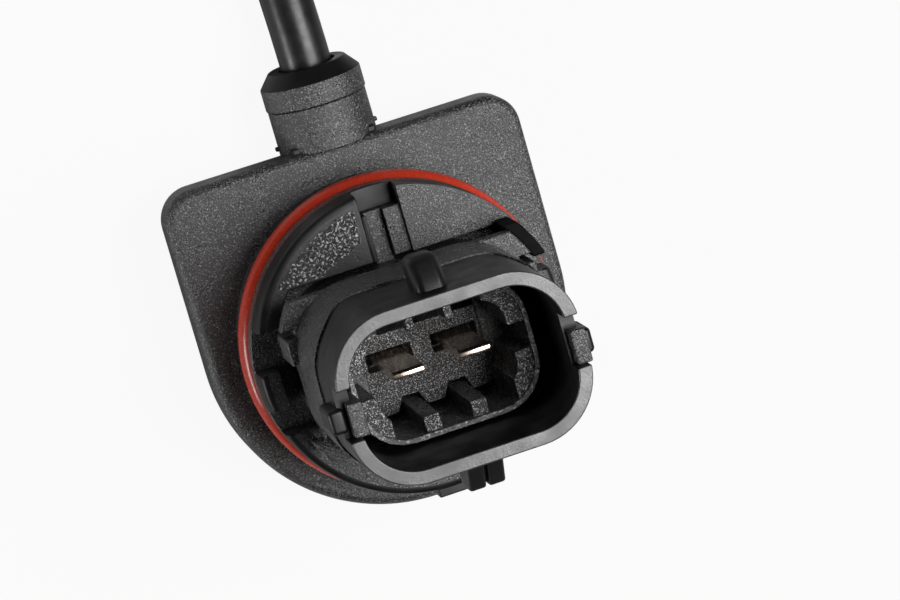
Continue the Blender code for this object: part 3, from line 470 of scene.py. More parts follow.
def tube_tree():
    """Geometry: a round tube that follows a line of edges."""
    tree = Tree("Tube along a line", "GeometryNodeTree",
                (("Geometry", "NodeSocketGeometry", None), ("Radius", "NodeSocketFloat", 0.002),
                 ("Sides", "NodeSocketInt", 24), ("Material", "NodeSocketMaterial", None)),
                (("Geometry", "NodeSocketGeometry"),))
    line = tree.node("GeometryNodeMeshToCurve")
    circle = tree.node("GeometryNodeCurvePrimitiveCircle")
    sweep = tree.node("GeometryNodeCurveToMesh", {"Fill Caps": True})
    smooth = tree.node("GeometryNodeSetShadeSmooth")
    realize = tree.node("GeometryNodeRealizeInstances")
    cover = tree.node("GeometryNodeSetMaterial")
    tree.link(tree.source("Sides"), circle.inputs["Resolution"])
    tree.link(tree.source("Radius"), circle.inputs["Radius"])
    tree.link(circle.outputs["Curve"], sweep.inputs["Profile Curve"])
    tree.link(tree.source("Material"), cover.inputs["Material"])
    tree.result("Geometry", tree.chain(tree.source("Geometry"), line, sweep, smooth, realize, cover))
    return tree.tree


def size_noise(tree, place, size, values):
    """A noise texture whose grain is as large as one of the tree's inputs says."""
    per_metre = tree.node("ShaderNodeMath", {0: 1.0}, operation="DIVIDE")
    tree.link(tree.source(size), per_metre.inputs[1])
    noise = tree.node("ShaderNodeTexNoise", values)
    tree.link(place.outputs["Object"], noise.inputs["Vector"])
    tree.link(per_metre.outputs[0], noise.inputs["Scale"])
    return noise.outputs["Fac"]


def grain_group():
    """Shader group: the grain and flecks of a glass-filled moulding, from Object coordinates."""
    tree = Tree("Moulded grain", "ShaderNodeTree",
                (("Grain Size", "NodeSocketFloat", 0.00016), ("Fleck Size", "NodeSocketFloat", 0.00013),
                 ("Fleck Share", "NodeSocketFloat", 0.2)),
                (("Height", "NodeSocketFloat"), ("Fleck", "NodeSocketFloat"), ("Tone", "NodeSocketFloat")))
    place = tree.node("ShaderNodeTexCoord")
    grain = size_noise(tree, place, "Grain Size", {"Detail": 4.0, "Roughness": 0.62})
    flakes = size_noise(tree, place, "Fleck Size", {"Detail": 2.0, "Distortion": 0.6})
    level = tree.node("ShaderNodeMapRange", {"To Min": 0.78, "To Max": 0.42})
    tree.link(tree.source("Fleck Share"), level.inputs["Value"])
    above = tree.node("ShaderNodeMath", operation="SUBTRACT")
    tree.link(flakes, above.inputs[0])
    tree.link(level.outputs["Result"], above.inputs[1])
    spot = tree.node("ShaderNodeMath", {1: 9.0}, operation="MULTIPLY", use_clamp=True)
    tree.link(above.outputs[0], spot.inputs[0])
    broad = tree.node("ShaderNodeTexNoise", {"Scale": 420.0, "Detail": 3.0})
    tree.link(place.outputs["Object"], broad.inputs["Vector"])
    tree.result("Height", grain)
    tree.result("Fleck", spot.outputs[0])
    tree.result("Tone", broad.outputs["Fac"])
    return tree.tree


def new_material(name):
    """A new material's node tree and its Principled BSDF."""
    made = bpy.data.materials.new(name)
    made.use_nodes = True
    return made.node_tree, made.node_tree.nodes["Principled BSDF"]


def mixed_colour(nodes, share, first, second):
    """A colour that runs from first to second with the share."""
    mix = new_node(nodes, "ShaderNodeMix", data_type="RGBA")
    nodes.links.new(share, mix.inputs["Factor"])
    mix.inputs["A"].default_value = (*first, 1.0)
    mix.inputs["B"].default_value = (*second, 1.0)
    return mix.outputs["Result"]


def uneven(nodes, shader, tone, height, roughness, spread, relief):
    """Let a shader's roughness follow a tone, within the spread, and its normal follow a height."""
    span = new_node(nodes, "ShaderNodeMapRange",
                    {"From Min": NOISE_LOW, "From Max": NOISE_HIGH, "To Min": roughness - spread,
                     "To Max": roughness + spread})
    nodes.links.new(tone, span.inputs["Value"])
    nodes.links.new(span.outputs["Result"], shader.inputs["Roughness"])
    bump = new_node(nodes, "ShaderNodeBump", {"Strength": 1.0, "Distance": relief})
    nodes.links.new(height, bump.inputs["Height"])
    nodes.links.new(bump.outputs["Normal"], shader.inputs["Normal"])


def moulded(look, name, base, roughness, relief, gloss, share=0.0, grain=1.0, flecks=1.0, bright=1.0):
    """A moulded plastic: grain in its normal, flecks in its colour, tone in its roughness.

    relief is in millimetres, gloss is its IOR, and share is how much of it the flecks cover. grain, flecks
    and bright multiply the settings' grain size, fleck size and fleck colour.
    """
    nodes, shader = new_material(name)
    shader.inputs["IOR"].default_value = gloss
    group = new_node(nodes, "ShaderNodeGroup",
                     {"Grain Size": look.grain * grain, "Fleck Size": look.fleck_size * flecks,
                      "Fleck Share": share}, node_tree=bpy.data.node_groups["Moulded grain"])
    shade = mixed_colour(nodes, group.outputs["Fleck"], base, scaled(look.fleck, bright))
    nodes.links.new(shade, shader.inputs["Base Color"])
    uneven(nodes, shader, group.outputs["Tone"], group.outputs["Height"], roughness, 0.10, relief * MM)


def plain_finish(name, base, roughness, metallic=0.0, relief=0.004, scale=900.0, stretch=(1.0, 1.0, 1.0)):
    """A smooth finish with a faint uneven surface, whose relief is in millimetres."""
    nodes, shader = new_material(name)
    shader.inputs["Metallic"].default_value = metallic
    place = new_node(nodes, "ShaderNodeTexCoord")
    mapping = new_node(nodes, "ShaderNodeMapping", {"Scale": stretch})
    nodes.links.new(place.outputs["Object"], mapping.inputs["Vector"])
    noise = new_node(nodes, "ShaderNodeTexNoise", {"Scale": scale, "Detail": 4.0})
    nodes.links.new(mapping.outputs["Vector"], noise.inputs["Vector"])
    tone = noise.outputs["Fac"]
    nodes.links.new(mixed_colour(nodes, tone, scaled(base, 0.82), base), shader.inputs["Base Color"])
    uneven(nodes, shader, tone, tone, roughness, 0.06, relief * MM)


def scaled(shade, factor):
    """A colour made brighter or darker."""
    return tuple(channel * factor for channel in shade)


class SENSOR_OT_finishes(bpy.types.Operator):
    """Make the finishes that the pieces share"""
    bl_idname = "sensor.finishes"
    bl_label = "Finishes"

    def execute(self, context):
        look = context.scene.sensor_finish
        grain_group()
        black = look.black
        moulded(look, "textured_moulding", scaled(black, 0.75), 0.31, relief=0.11, gloss=1.72, share=0.60)
        moulded(look, "smooth_moulding", scaled(black, 0.4), 0.40, relief=0.004, gloss=1.4, grain=1.6)
        # Near black, rough and dull: painted shade for the dark gap beside the right flange
        moulded(look, "recess_moulding", scaled(black, 0.2), 0.7, relief=0.01, gloss=1.2)
        moulded(look, "satin_moulding", black, 0.40, relief=0.03, gloss=1.5, share=0.30, grain=1.2)
        # Three times lighter than the black: a painted sheen for the rim's top faces, with a smoother grain
        moulded(look, "rim_moulding", scaled(black, 3.0), 0.32, relief=0.014, gloss=1.72, share=0.15)
        moulded(look, "flaky_moulding", black, 0.26, relief=0.30, gloss=1.6, share=0.66, grain=1.8,
                flecks=1.7, bright=2.2)
        # Four times lighter, with bright flecks: a painted glint for the insert's top edges
        moulded(look, "glint_moulding", scaled(black, 4.0), 0.26, relief=0.12, gloss=1.9, share=0.6,
                flecks=2.0, bright=2.2)
        moulded(look, "insert_moulding", look.insert, 0.32, relief=0.15, gloss=1.5, share=0.66, flecks=0.9,
                bright=2.2)
        plain_finish("silicone", look.silicone, 0.26, scale=1500.0)
        plain_finish("sheath", look.sheath, 0.36, relief=0.012, scale=1200.0)
        plain_finish("seal_rubber", look.sheath, 0.5)
        plain_finish("blade_tin", look.blade, 0.24, 1.0, relief=0.0015, scale=2500.0,
                     stretch=(1.0, 1.0, 0.12))
        plain_finish("bush_steel", look.steel, 0.34, 1.0, scale=2500.0, stretch=(1.0, 1.0, 0.2))
        plain_finish("pale_nylon", look.nylon, 0.5)
        plain_finish("core_red", look.core_red, 0.42)
        plain_finish("core_black", look.sheath, 0.42)
        plain_finish("tie_nylon", look.black, 0.42)
        return {"FINISHED"}


def plate_outline(head, inset, steps=14):
    """The flange plate's outline, moved inward."""
    half = head.plate_half - inset
    top = head.plate_top - inset
    corner = max(head.plate_corner - inset, 0.8 * MM)
    points = arc(half, 180.0, 360.0, 72)
    points += arc(corner, 0.0, 90.0, steps, (half - corner, top - corner))
    points += arc(corner, 90.0, 180.0, steps, (corner - half, top - corner))
    return points


def shroud_outline(head, grow):
    return rounded_box(head.shroud_x + grow, head.shroud_y + grow, head.shroud_corner + grow)


def degrees_at(radius, offset):
    """The angle, in degrees, at which a circle's point is that far from the circle's axis."""
    return math.degrees(math.asin(offset / radius))


def build_plate(head, shell):
    """The flange plate, the box behind it and the round boss with its groove."""
    plate = prism(plate_outline(head, 0.0), head.plate_low, head.plate_front)
    round_level(plate, head.plate_front, head.plate_round, 5)
    round_level(plate, head.plate_low, head.plate_round / 2, 3)
    add(shell, plate, TEXTURED)
    add(shell, prism(plate_outline(head, head.box_inset), head.box_low, head.plate_low + 0.3 * MM, 0.15 * MM,
                     round_low=True), TEXTURED)
    sunk = head.plate_front - 0.5 * MM
    floor = head.groove_floor
    add(shell, lathe([(0.0, sunk), (head.boss, sunk), (head.boss, head.groove_low), (floor, head.groove_low),
                      (floor, head.groove_high), (head.boss, head.groove_high), (head.boss, head.channel),
                      (0.0, head.channel)], 144, 0.12 * MM), TEXTURED)


def segment_outline(head, side):
    """Outline of a raised segment with its lips. side is 1 above and -1 below."""
    outer = head.boss
    inner = head.boss - head.lip
    low = degrees_at(outer, head.lip_end)
    inner_low = degrees_at(inner, head.lip_end)
    inner_high = degrees_at(inner, head.chord)
    points = arc(outer, low, 180.0 - low, 80)
    points += arc(inner, 180.0 - inner_low, 180.0 - inner_high, 8)
    points += arc(inner, inner_high, inner_low, 8)
    return [(side * x, side * y) for x, y in points]


def raised(head, outline):
    """A raised part of the boss's face: its outer edge is chamfered, its other edges are rounded."""
    shape = prism(outline, head.channel, head.segment)
    rim_edges = [edge for edge in shape.edges if lies_at(edge, head.segment)
                 and all(vert.co.xy.length > head.boss - 0.02 * MM for vert in edge.verts)]
    bevel(shape, rim_edges, head.rim_chamfer, 2, 0.6)
    return round_edges(shape, head.edge, 3, head.channel)


def rim_piece(outer, inner, low_y, high_y, steps):
    """Outline of the piece of a ring that lies at its right end, between two levels of y."""
    points = arc(outer, degrees_at(outer, low_y), degrees_at(outer, high_y), steps)
    return points + arc(inner, degrees_at(inner, high_y), degrees_at(inner, low_y), 8)


def crust_outline(head):
    """Ragged outline of the flaky crust on the outer part of the upper left segment."""
    chance = random.Random(11)
    ragged = 0.2 * MM
    outer = head.boss - head.rim_chamfer - 0.4 * MM
    points = []
    for radius, start, end, steps in ((outer, 98.0, 148.0, 44), (outer - 2.9 * MM, 146.0, 102.0, 30)):
        for x, y in arc(radius, start, end, steps):
            points.append((x + chance.uniform(-ragged, ragged), y + chance.uniform(-ragged, ragged)))
    return left_part(upper_part(points, head.chord + 0.25 * MM), -1.55 * MM)


def build_segments(head, shell):
    """The raised segments, the upper one's slot, step, rib and painted shade bar, the lugs and the lower
    one's tab.
    """
    rib_left = -1.3 * MM
    slot_left = -0.9 * MM
    slot_right = 0.7 * MM
    step_right = 2.3 * MM
    notch_low = 11.7 * MM
    slot_low = 6.9 * MM
    lip_start = 8.0 * MM
    slot_top = head.segment - 1.2 * MM
    whole = segment_outline(head, 1)
    beyond_step = right_part(whole, step_right)
    middle = left_part(right_part(whole, rib_left), step_right)
    below_notch = lower_part(middle, notch_low)
    # Beside the right flange the upper segment's lip is lowered. It and a bar stood on the rim take the
    # near-black finish, painted shade for the dark gap there
    low_lip = right_part(lower_part(beyond_step, head.chord), lip_start)
    shade_bar = rim_piece(head.boss - 0.15 * MM, head.boss - 1.3 * MM, 4.3 * MM, 7.8 * MM, 8)
    slot = left_part(right_part(below_notch, slot_left), slot_right)
    slot_end = rectangle(slot_left, slot_low, slot_right, head.chord + 0.1 * MM)
    for outline, top, edge, finish_number in (
            (low_lip, head.channel + 0.7 * MM, 0.1 * MM, PAINTED_SHADE),
            (shade_bar, 21.4 * MM, 0.3 * MM, PAINTED_SHADE),
            (left_part(below_notch, slot_left), head.segment + 0.12 * MM, 0.1 * MM, SMOOTH),
            (slot, slot_top, 0.05 * MM, TEXTURED),
            (right_part(below_notch, slot_right), head.segment - 0.5 * MM, 0.1 * MM, TEXTURED),
            (upper_part(middle, notch_low), head.segment - 2.2 * MM, 0.1 * MM, SMOOTH),
            (slot_end, slot_top, 0.1 * MM, TEXTURED)):
        add(shell, prism(outline, head.channel, top, edge), finish_number)
    add(shell, raised(head, upper_part(beyond_step, head.chord)), TEXTURED)
    add(shell, raised(head, left_part(whole, rib_left)), SATIN)
    add(shell, prism(crust_outline(head), head.segment - 0.1 * MM, head.segment + 0.05 * MM), FLAKY)
    add(shell, raised(head, segment_outline(head, -1)), TEXTURED)
    for side, high_y in ((-1, 1.0 * MM), (1, 2.4 * MM)):
        lug = rim_piece(head.boss, head.boss - head.lip, -2.4 * MM, high_y, 10)
        add(shell, raised(head, [(side * x, y) for x, y in lug[::side]]), TEXTURED)
    add_block(shell, TEXTURED, (-1.4 * MM, 1.4 * MM), (-14.3 * MM, -13.0 * MM),
              (head.channel, head.segment - 0.5 * MM), 0.15 * MM)


def paint_chamfer_shade(head, shell):
    """Give the smooth finish to the chamfer round the segments and the lips. The chamfer is smooth, and the
    finish's darker colour also paints the shade that falls there.
    """
    for face in shell.faces:
        middle = face.calc_center_median()
        if middle.xy.length > head.boss - head.rim_chamfer and head.channel < middle.z < head.segment:
            face.material_index = SMOOTH


def build_shroud(head, shell):
    """The plug shroud: neck, foot, upper wall, rim halves, end blocks, nubs and latch noses."""
    inner = shroud_outline(head, -head.shroud_wall)
    neck = shroud_outline(head, -0.35 * MM)
    foot = shroud_outline(head, 0.2 * MM)
    wall = shroud_outline(head, 0.0)
    floor = 17.0 * MM
    foot_low = 21.7 * MM
    foot_high = 28.0 * MM
    notch = head.rim - 2.2 * MM
    low_cut = 2.2 * MM
    add(shell, prism(neck, head.channel, floor), TEXTURED)
    add(shell, ring(neck, inner, floor, foot_low), TEXTURED)
    add(shell, raised_ends(ring(foot, inner, foot_low, foot_high), foot_high), TEXTURED)
    add(shell, ring(wall, inner, foot_high, notch), SMOOTH)
    for side in (-1, 1):
        outer_part, inner_part = (from_cut(clip(outline, 0, side, low_cut), side * low_cut)
                                  for outline in (wall, inner))
        add(shell, prism(outer_part + inner_part[::-1], notch, head.rim, 0.16 * MM), SMOOTH)
    for side in (-1, 1):
        middle = side * (head.shroud_x - head.shroud_wall / 2 - 0.17 * MM) + 0.53 * MM
        add_block(shell, TEXTURED, (middle - 0.65 * MM, middle + 0.65 * MM), (-2.2 * MM, 0.8 * MM),
                  (head.rim - 5.4 * MM, head.rim - 0.9 * MM), 0.18 * MM)
        add_block(shell, SMOOTH, (side * (head.shroud_x - 0.5 * MM), side * (head.shroud_x + 1.0 * MM)),
                  (-1.7 * MM, 0.5 * MM), (head.rim - 5.7 * MM, head.rim - 1.7 * MM), 0.42 * MM, 4)
    # The smooth faces on top of the rim take the lighter rim finish, a painted sheen
    for face in shell.faces:
        on_rim = face.normal.z > 0.7 and face.calc_center_median().z > head.rim - 0.3 * MM
        if face.material_index == SMOOTH and on_rim:
            face.material_index = RIM_SHEEN
    build_noses(head, shell)
    build_flanges(head, shell)


def raised_ends(shape, height):
    """Lift the foot's ledge at the shroud's two short ends, and round it."""
    rise = 2.6 * MM
    start = 6.5 * MM
    run = 3.0 * MM
    for vert in shape.verts:
        if abs(vert.co.z - height) < TOLERANCE:
            share = min(max((abs(vert.co.x) - start) / run, 0.0), 1.0)
            vert.co.z += rise * share * share * (3.0 - 2.0 * share)
    return round_edges(shape, 0.08 * MM, 2)


def from_cut(outline, cut_y):
    """Start an outline, cut by a level line, at one end of its curved stretch."""
    for index, point in enumerate(outline):
        after = outline[(index + 1) % len(outline)]
        if abs(point[1] - cut_y) < TOLERANCE <= abs(after[1] - cut_y):
            return outline[index:] + outline[:index]
    return outline


def build_noses(head, shell):
    """A nose on each long side, flat below and sloped above; the lower one is split by a groove."""
    face = head.shroud_y
    tip = face + 2.75 * MM
    low = 31.8 * MM
    shoulder = 34.6 * MM
    root = 36.6 * MM
    profile = [(face - 0.5 * MM, low), (tip, low), (tip, shoulder), (face, root), (face - 0.5 * MM, root)]
    knob = [(face - 1.2 * MM, low), (tip, low), (tip, shoulder), (face + 0.9 * MM, root - 0.9 * MM),
            (face - 1.2 * MM, root - 0.4 * MM)]
    add(shell, prism(knob, -1.5 * MM, 1.25 * MM, 0.8 * MM, 5, round_low=True), SMOOTH, ALONG_X)
    lower = [(-y, z) for y, z in reversed(profile)]
    for low_x, high_x in ((-1.6, -0.1), (0.1, 1.6)):
        add(shell, prism(lower, low_x * MM, high_x * MM, 0.35 * MM, round_low=True), SMOOTH, ALONG_X)
    core = [(-face + 0.5 * MM, low + 0.3 * MM), (-face + 0.5 * MM, root - 0.5 * MM), (-face, root - 0.5 * MM),
            (-tip + 0.4 * MM, shoulder - 0.3 * MM), (-tip + 0.4 * MM, low + 0.3 * MM)]
    add(shell, prism(core, -1.3 * MM, 1.3 * MM), SMOOTH, ALONG_X)


def build_flanges(head, shell):
    """The plate at both ends of the foot, with its pocket and the small rib in it."""
    root = head.shroud_x / 2
    pocket_x = head.shroud_x - 0.3 * MM
    radius = 12.4 * MM
    half = 7.3 * MM
    pocket = 4.9 * MM
    low = 20.9 * MM
    high = 22.2 * MM
    outline = [(root, half), (root, -half)]
    outline += arc(radius, -degrees_at(radius, half), -degrees_at(radius, pocket), 10)
    outline += [(pocket_x, -pocket), (pocket_x, pocket)]
    outline += arc(radius, degrees_at(radius, pocket), degrees_at(radius, half), 10)
    for side in (-1, 1):
        plate = prism([(side * x, side * y) for x, y in outline], low, high, 0.18 * MM, round_low=True)
        add(shell, plate, TEXTURED)
        add_block(shell, TEXTURED, (side * 10.1 * MM, side * 11.3 * MM), (2.1 * MM, 4.4 * MM),
                  (low - 2.0 * MM, high + 1.2 * MM), 0.2 * MM)


def build_stub(head, shell):
    """The cable stub with its bore, its root on the plate and the two small nubs of flash."""
    start = 16.35 * MM
    end = 20.45 * MM
    seat = 17.3 * MM
    bore = 2.6 * MM
    seal_bore = 3.7 * MM
    outer = 4.45 * MM
    add(shell, lathe([(bore, start), (outer, start), (outer, end), (seal_bore, end), (seal_bore, seat),
                      (bore, seat)], 64, 0.15 * MM), TEXTURED, along_cable(0.0))
    # The block at the stub's root is a fillet. Its darker smooth finish also paints the shade at the stub's
    # foot
    add_block(shell, SMOOTH, (-3.9 * MM, 3.9 * MM), (16.3 * MM, 17.2 * MM), (head.box_low, 7.6 * MM),
              0.2 * MM)
    for side in (-1, 1):
        add_block(shell, SMOOTH, (side * 4.2 * MM, side * 4.75 * MM), (16.95 * MM, 17.35 * MM),
                  (4.3 * MM, 4.8 * MM), 0.12 * MM)


def along_cable(centre_x):
    """Lay a turned shape along Y, at the height of the cable's axis."""
    return Matrix.Translation((centre_x, 0.0, 4.6 * MM)) @ TURN_TO_Y


class SENSOR_OT_housing(bpy.types.Operator):
    """Make the head's moulding with its rounded edges and its finishes"""
    bl_idname = "sensor.housing"
    bl_label = "Housing"

    def execute(self, context):
        head = context.scene.sensor_head
        shell = bmesh.new()
        build_plate(head, shell)
        build_segments(head, shell)
        paint_chamfer_shade(head, shell)
        build_shroud(head, shell)
        build_stub(head, shell)
        make_piece("housing_shell", shell, HOUSING_FINISHES, "housing")
        dress("back_cover", "textured_moulding", 0.2 * MM)
        return {"FINISHED"}


class SENSOR_OT_seal_ring(bpy.types.Operator):
    """Sweep the red seal ring round the boss"""
    bl_idname = "sensor.seal_ring"
    bl_label = "Seal ring"

    def execute(self, context):
        low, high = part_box("seal_ring")
        section = (high.z - low.z) / 2
        middle = (high.x - low.x) / 2 - section
        centre_z = (high.z + low.z) / 2
        around = [(x, y, centre_z) for x, y in arc(middle, 0.0, 360.0, 160)[:-1]]
        sweep_tube("seal_ring_swept", around, True, section, 28, "silicone", "seal_ring")
        return {"FINISHED"}


def full_tip(node, widening=1.5):
    """A blade whose bevelled tip keeps more of its end face than the solid's does."""
    shape = merged_copy(node)
    top = max(vert.co.z for vert in shape.verts)
    end = [vert for vert in shape.verts if vert.co.z > top - 0.01 * MM]
    middle = sum(vert.co.y for vert in end) / len(end)
    for vert in end:
        vert.co.y = middle + (vert.co.y - middle) * widening
    round_edges(shape, 0.08 * MM, 2)
    return make_piece(node + "_dressed", shape, ["blade_tin"], node)


class SENSOR_OT_terminals(bpy.types.Operator):
    """Dress the insert, the blades and their crimps and cores"""
    bl_idname = "sensor.terminals"
    bl_label = "Terminals"

    def execute(self, context):
        insert = dress("terminal_insert", "insert_moulding", 0.1 * MM)
        # The faces at the insert's top take a lighter finish, a painted glint along its upper edges
        insert.data.materials.append(bpy.data.materials["glint_moulding"])
        painted_glint = len(insert.data.materials) - 1
        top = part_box("terminal_insert")[1].z
        for face in insert.data.polygons:
            if face.normal.z > 0.4 and face.center.z > top - 0.15 * MM:
                face.material_index = painted_glint
        for side in ("left", "right"):
            full_tip("terminal_" + side)
            dress("crimp_" + side, "blade_tin", 0.08 * MM)
        dress("head_core_left", "core_black", 0.1 * MM)
        dress("head_core_right", "core_red", 0.1 * MM)
        return {"FINISHED"}


def gland_cap(name, centre_x, face):
    """A cap with a chamfered shoulder, turned about the cable."""
    bore = 2.6 * MM
    spigot = 3.4 * MM
    outer = 4.55 * MM
    start = face - 0.6 * MM
    end = face + 3.2 * MM
    profile = [(bore, start), (spigot, start), (spigot, face), (outer, face), (outer, end - 1.25 * MM),
               (outer - 1.05 * MM, end), (bore, end)]
    shape = lathe(profile, 72, 0.08 * MM)
    for side in shape.faces:
        side.material_index = SMOOTH if side.normal.z > 0.5 else TEXTURED
    shape.transform(along_cable(centre_x))
    return make_piece(name + "_dressed", shape, ["textured_moulding", "smooth_moulding"],
                      name)


class SENSOR_OT_glands(bpy.types.Operator):
    """Make the gland caps and seals at both ends of the lead"""
    bl_idname = "sensor.glands"
    bl_label = "Glands"

    def execute(self, context):
        gland_cap("head_gland_cap", 0.0, 20.5 * MM)
        gland_cap("probe_gland_cap", 35.4 * MM, 56.1 * MM)
        for node in ("head_seal", "probe_seal"):
            dress(node, "seal_rubber", 0.1 * MM)
        return {"FINISHED"}


PROBE_FINISHES = {
    "probe_foot": ("textured_moulding", "black_moulding", 0.2),
    "probe_foot_cover": ("textured_moulding", "black_moulding", 0.15),
    "probe_guard": ("textured_moulding", "black_moulding", 0.15),
    "probe_cap": ("smooth_moulding", "black_moulding", 0.15),
    "bush_front": ("bush_steel", "steel", 0.12),
    "bush_back": ("bush_steel", "steel", 0.12),
    "wire_former": ("pale_nylon", "pale_nylon", 0.1),
    "hot_wire": ("bush_steel", "steel", 0.0),
    "post_left": ("blade_tin", "tinned_brass", 0.1),
    "post_right": ("blade_tin", "tinned_brass", 0.1),
    "probe_core_left": ("core_black", "core_black", 0.1),
    "probe_core_right": ("core_red", "core_red", 0.1),
}


class SENSOR_OT_probe(bpy.types.Operator):
    """Dress the probe at the lead's far end"""
    bl_idname = "sensor.probe"
    bl_label = "Probe"

    def execute(self, context):
        for node, (finish_name, slot, edge) in PROBE_FINISHES.items():
            dress(node, finish_name, edge * MM)
        dress("coil_tie", "tie_nylon", 0.15 * MM)
        return {"FINISHED"}


def coil_point(lead, turn):
    """A point of the flat coil, turn counted from its start at the left, clockwise."""
    radius = lead.coil_radius - lead.coil_pitch * turn
    angle = math.pi - 2.0 * math.pi * turn
    lift = sum(math.exp(-((turn - tied) / TIE_RISE_TURNS) ** 2) for tied in (TIE_TURN, TIE_TURN + 1.0))
    return Vector((COIL_CENTRE[0] + radius * math.cos(angle), COIL_CENTRE[1] + radius * math.sin(angle),
                   lead.coil_height + TIE_RISE * lift))


def smooth_line(points, step):
    """Read a smooth curve through the points at even steps."""
    ends = [points[0] * 2 - points[1]] + list(points) + [points[-1] * 2 - points[-2]]
    fine = []
    for index in range(1, len(ends) - 2):
        before, start, end, after = ends[index - 1:index + 3]
        for part_step in range(LEAD_FINE_STEPS):
            t = part_step / LEAD_FINE_STEPS
            fine.append(0.5 * (2 * start + (end - before) * t
                               + (2 * before - 5 * start + 4 * end - after) * t ** 2
                               + (3 * start - before - 3 * end + after) * t ** 3))
    fine.append(points[-1])
    total = sum((b - a).length for a, b in zip(fine, fine[1:]))
    count = max(2, round(total / step))
    even = [fine[0]]
    travelled = 0.0
    for a, b in zip(fine, fine[1:]):
        stretch = (b - a).length
        while stretch > 0 and len(even) < count and travelled + stretch >= total / count * len(even):
            even.append(a.lerp(b, (total / count * len(even) - travelled) / stretch))
        travelled += stretch
    even.append(fine[-1])
    return even


def lead_route(lead):
    """The lead's centre line: out of the head, round the coil and into the probe's foot."""
    start = [Vector(point) * MM for point in LEAD_START_POINTS]
    steps = int(lead.coil_turns * COIL_STEPS_PER_TURN + 0.001)
    coil = [coil_point(lead, index / COIL_STEPS_PER_TURN) for index in range(steps + 1)]
    end = [Vector(point) * MM for point in LEAD_END_POINTS]
    return smooth_line(start + coil + end, LEAD_READ_STEP)


class SENSOR_OT_lead(bpy.types.Operator):
    bl_idname = "sensor.lead"
    bl_label = "Lead"

    def execute(self, context):
        lead = context.scene.sensor_lead
        route = lead_route(lead)
        piece = sweep_tube("lead_swept", route, False, lead.diameter / 2, lead.sides, "sheath",
                           "cable")
        return {"FINISHED"}


def add_lamp(name, place, size, power):
    """A soft rectangular lamp that points at the head."""
    lamp = bpy.data.lights.new(name, "AREA")
    lamp.shape = "RECTANGLE"
    lamp.size, lamp.size_y = size
    lamp.energy = power
    holder = new_object(name, lamp)
    holder.location = place
    holder.rotation_euler = (Vector(LAMP_TARGET) - Vector(place)).to_track_quat("-Z", "Y").to_euler()


def blend_shaders(nodes, share, first, second, output):
    """Run from the first shader to the second with the share, into the output node."""
    blend = new_node(nodes, "ShaderNodeMixShader")
    nodes.links.new(share, blend.inputs["Fac"])
    nodes.links.new(first, blend.inputs[1])
    nodes.links.new(second, blend.inputs[2])
    nodes.links.new(blend.outputs["Shader"], nodes.nodes[output].inputs["Surface"])


def add_floor(studio):
    """A pale floor that shows nearly white and keeps a faint shadow."""
    nodes, shader = new_material("floor")
    shader.inputs["Base Color"].default_value = (*studio.floor, 1.0)
    shader.inputs["Roughness"].default_value = 0.9
    glow = new_node(nodes, "ShaderNodeEmission")
    path = new_node(nodes, "ShaderNodeLightPath")
    share = new_node(nodes, "ShaderNodeMath", {1: studio.whiteness}, operation="MULTIPLY")
    nodes.links.new(path.outputs["Is Camera Ray"], share.inputs[0])
    blend_shaders(nodes, share.outputs[0], shader.outputs["BSDF"], glow.outputs["Emission"],
                  "Material Output")
    shape = bmesh.new()
    bmesh.ops.create_circle(shape, cap_ends=True, segments=96, radius=3.0,
                            matrix=Matrix.Translation((0.0, 0.0, -0.05 * MM)))
    new_object("floor", mesh_of("floor", shape, ["floor"]))


def add_world(studio):
    """Plain surroundings: white to the camera, dimmer as light on the object."""
    world = bpy.data.worlds.new("studio")
    bpy.context.scene.world = world
    world.use_nodes = True
    nodes = world.node_tree
    white = (1.0, 1.0, 1.0, 1.0)
    light = nodes.nodes["Background"]
    light.inputs["Strength"].default_value = studio.ambient
    light.inputs["Color"].default_value = white
    seen = new_node(nodes, "ShaderNodeBackground", {"Color": white})
    path = new_node(nodes, "ShaderNodeLightPath")
    blend_shaders(nodes, path.outputs["Is Camera Ray"], light.outputs["Background"],
                  seen.outputs["Background"], "World Output")


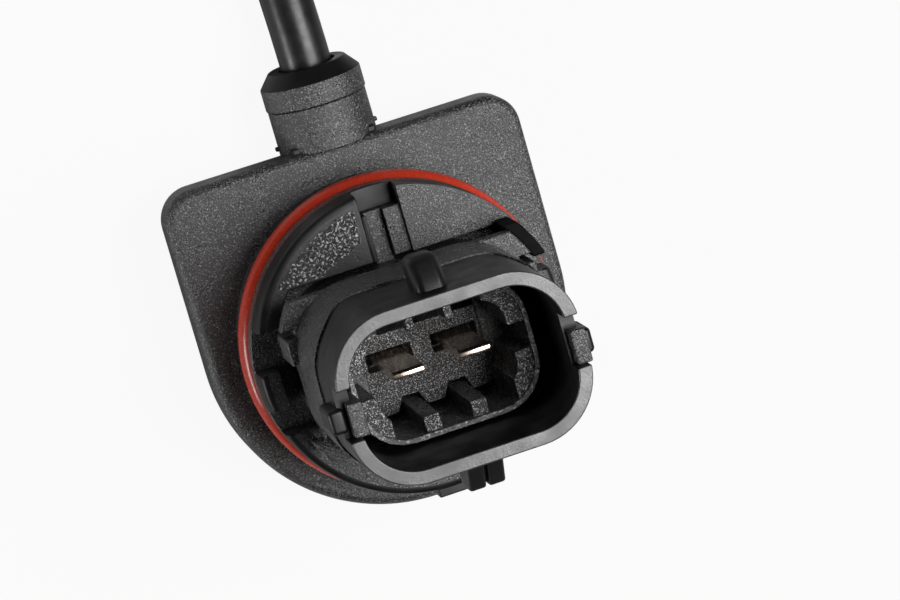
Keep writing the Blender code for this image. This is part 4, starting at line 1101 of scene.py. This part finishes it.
class SENSOR_OT_stage(bpy.types.Operator):
    """Make the floor, the surroundings, the lamps and the camera"""
    bl_idname = "sensor.stage"
    bl_label = "Stage"

    def execute(self, context):
        studio = context.scene.sensor_studio
        add_floor(studio)
        add_world(studio)
        add_lamp("key_lamp", KEY_PLACE, KEY_SIZE, studio.key)
        add_lamp("strip_lamp", STRIP_PLACE, STRIP_SIZE, studio.strip)
        camera = bpy.data.cameras.new("photo_camera")
        camera.sensor_fit = "HORIZONTAL"
        camera.sensor_width = SENSOR_WIDTH
        camera.lens = CAMERA_LENS
        camera.clip_start = 0.01
        camera.clip_end = 20.0
        holder = new_object("photo_camera", camera)
        holder.location = CAMERA_PLACE
        holder.rotation_euler = Euler([math.radians(turn) for turn in CAMERA_TURN])
        context.scene.camera = holder
        context.scene.view_settings.view_transform = "Standard"
        return {"FINISHED"}


class SENSOR_PT_panel(bpy.types.Panel):
    """Lists the sensor's pieces in the sidebar"""
    bl_idname = "SENSOR_PT_panel"
    bl_label = "Oil level sensor"
    bl_space_type = "VIEW_3D"
    bl_region_type = "UI"
    bl_category = "Oil sensor"

    def draw(self, context):
        for operator in OPERATORS:
            self.layout.operator(operator.bl_idname)


OPERATORS = (SENSOR_OT_stage, SENSOR_OT_finishes, SENSOR_OT_housing, SENSOR_OT_seal_ring, SENSOR_OT_terminals,
             SENSOR_OT_glands, SENSOR_OT_probe, SENSOR_OT_lead)
SETTINGS = {"sensor_head": SENSOR_PG_head, "sensor_lead": SENSOR_PG_lead, "sensor_finish": SENSOR_PG_finish,
            "sensor_studio": SENSOR_PG_studio}


def register():
    for group in SETTINGS.values():
        bpy.utils.register_class(group)
    for name, group in SETTINGS.items():
        setattr(bpy.types.Scene, name, PointerProperty(type=group))
    for operator in OPERATORS:
        bpy.utils.register_class(operator)
    bpy.utils.register_class(SENSOR_PT_panel)


def unregister():
    bpy.utils.unregister_class(SENSOR_PT_panel)
    for operator in reversed(OPERATORS):
        bpy.utils.unregister_class(operator)
    for name, group in reversed(SETTINGS.items()):
        delattr(bpy.types.Scene, name)
        bpy.utils.unregister_class(group)


def main():
    register()
    tube_tree()
    bpy.ops.sensor.stage()
    bpy.ops.sensor.finishes()
    bpy.ops.sensor.housing()
    bpy.ops.sensor.seal_ring()
    bpy.ops.sensor.terminals()
    bpy.ops.sensor.glands()
    bpy.ops.sensor.probe()
    bpy.ops.sensor.lead()
    bpy.context.view_layer.update()


if __name__ == "__main__":
    main()
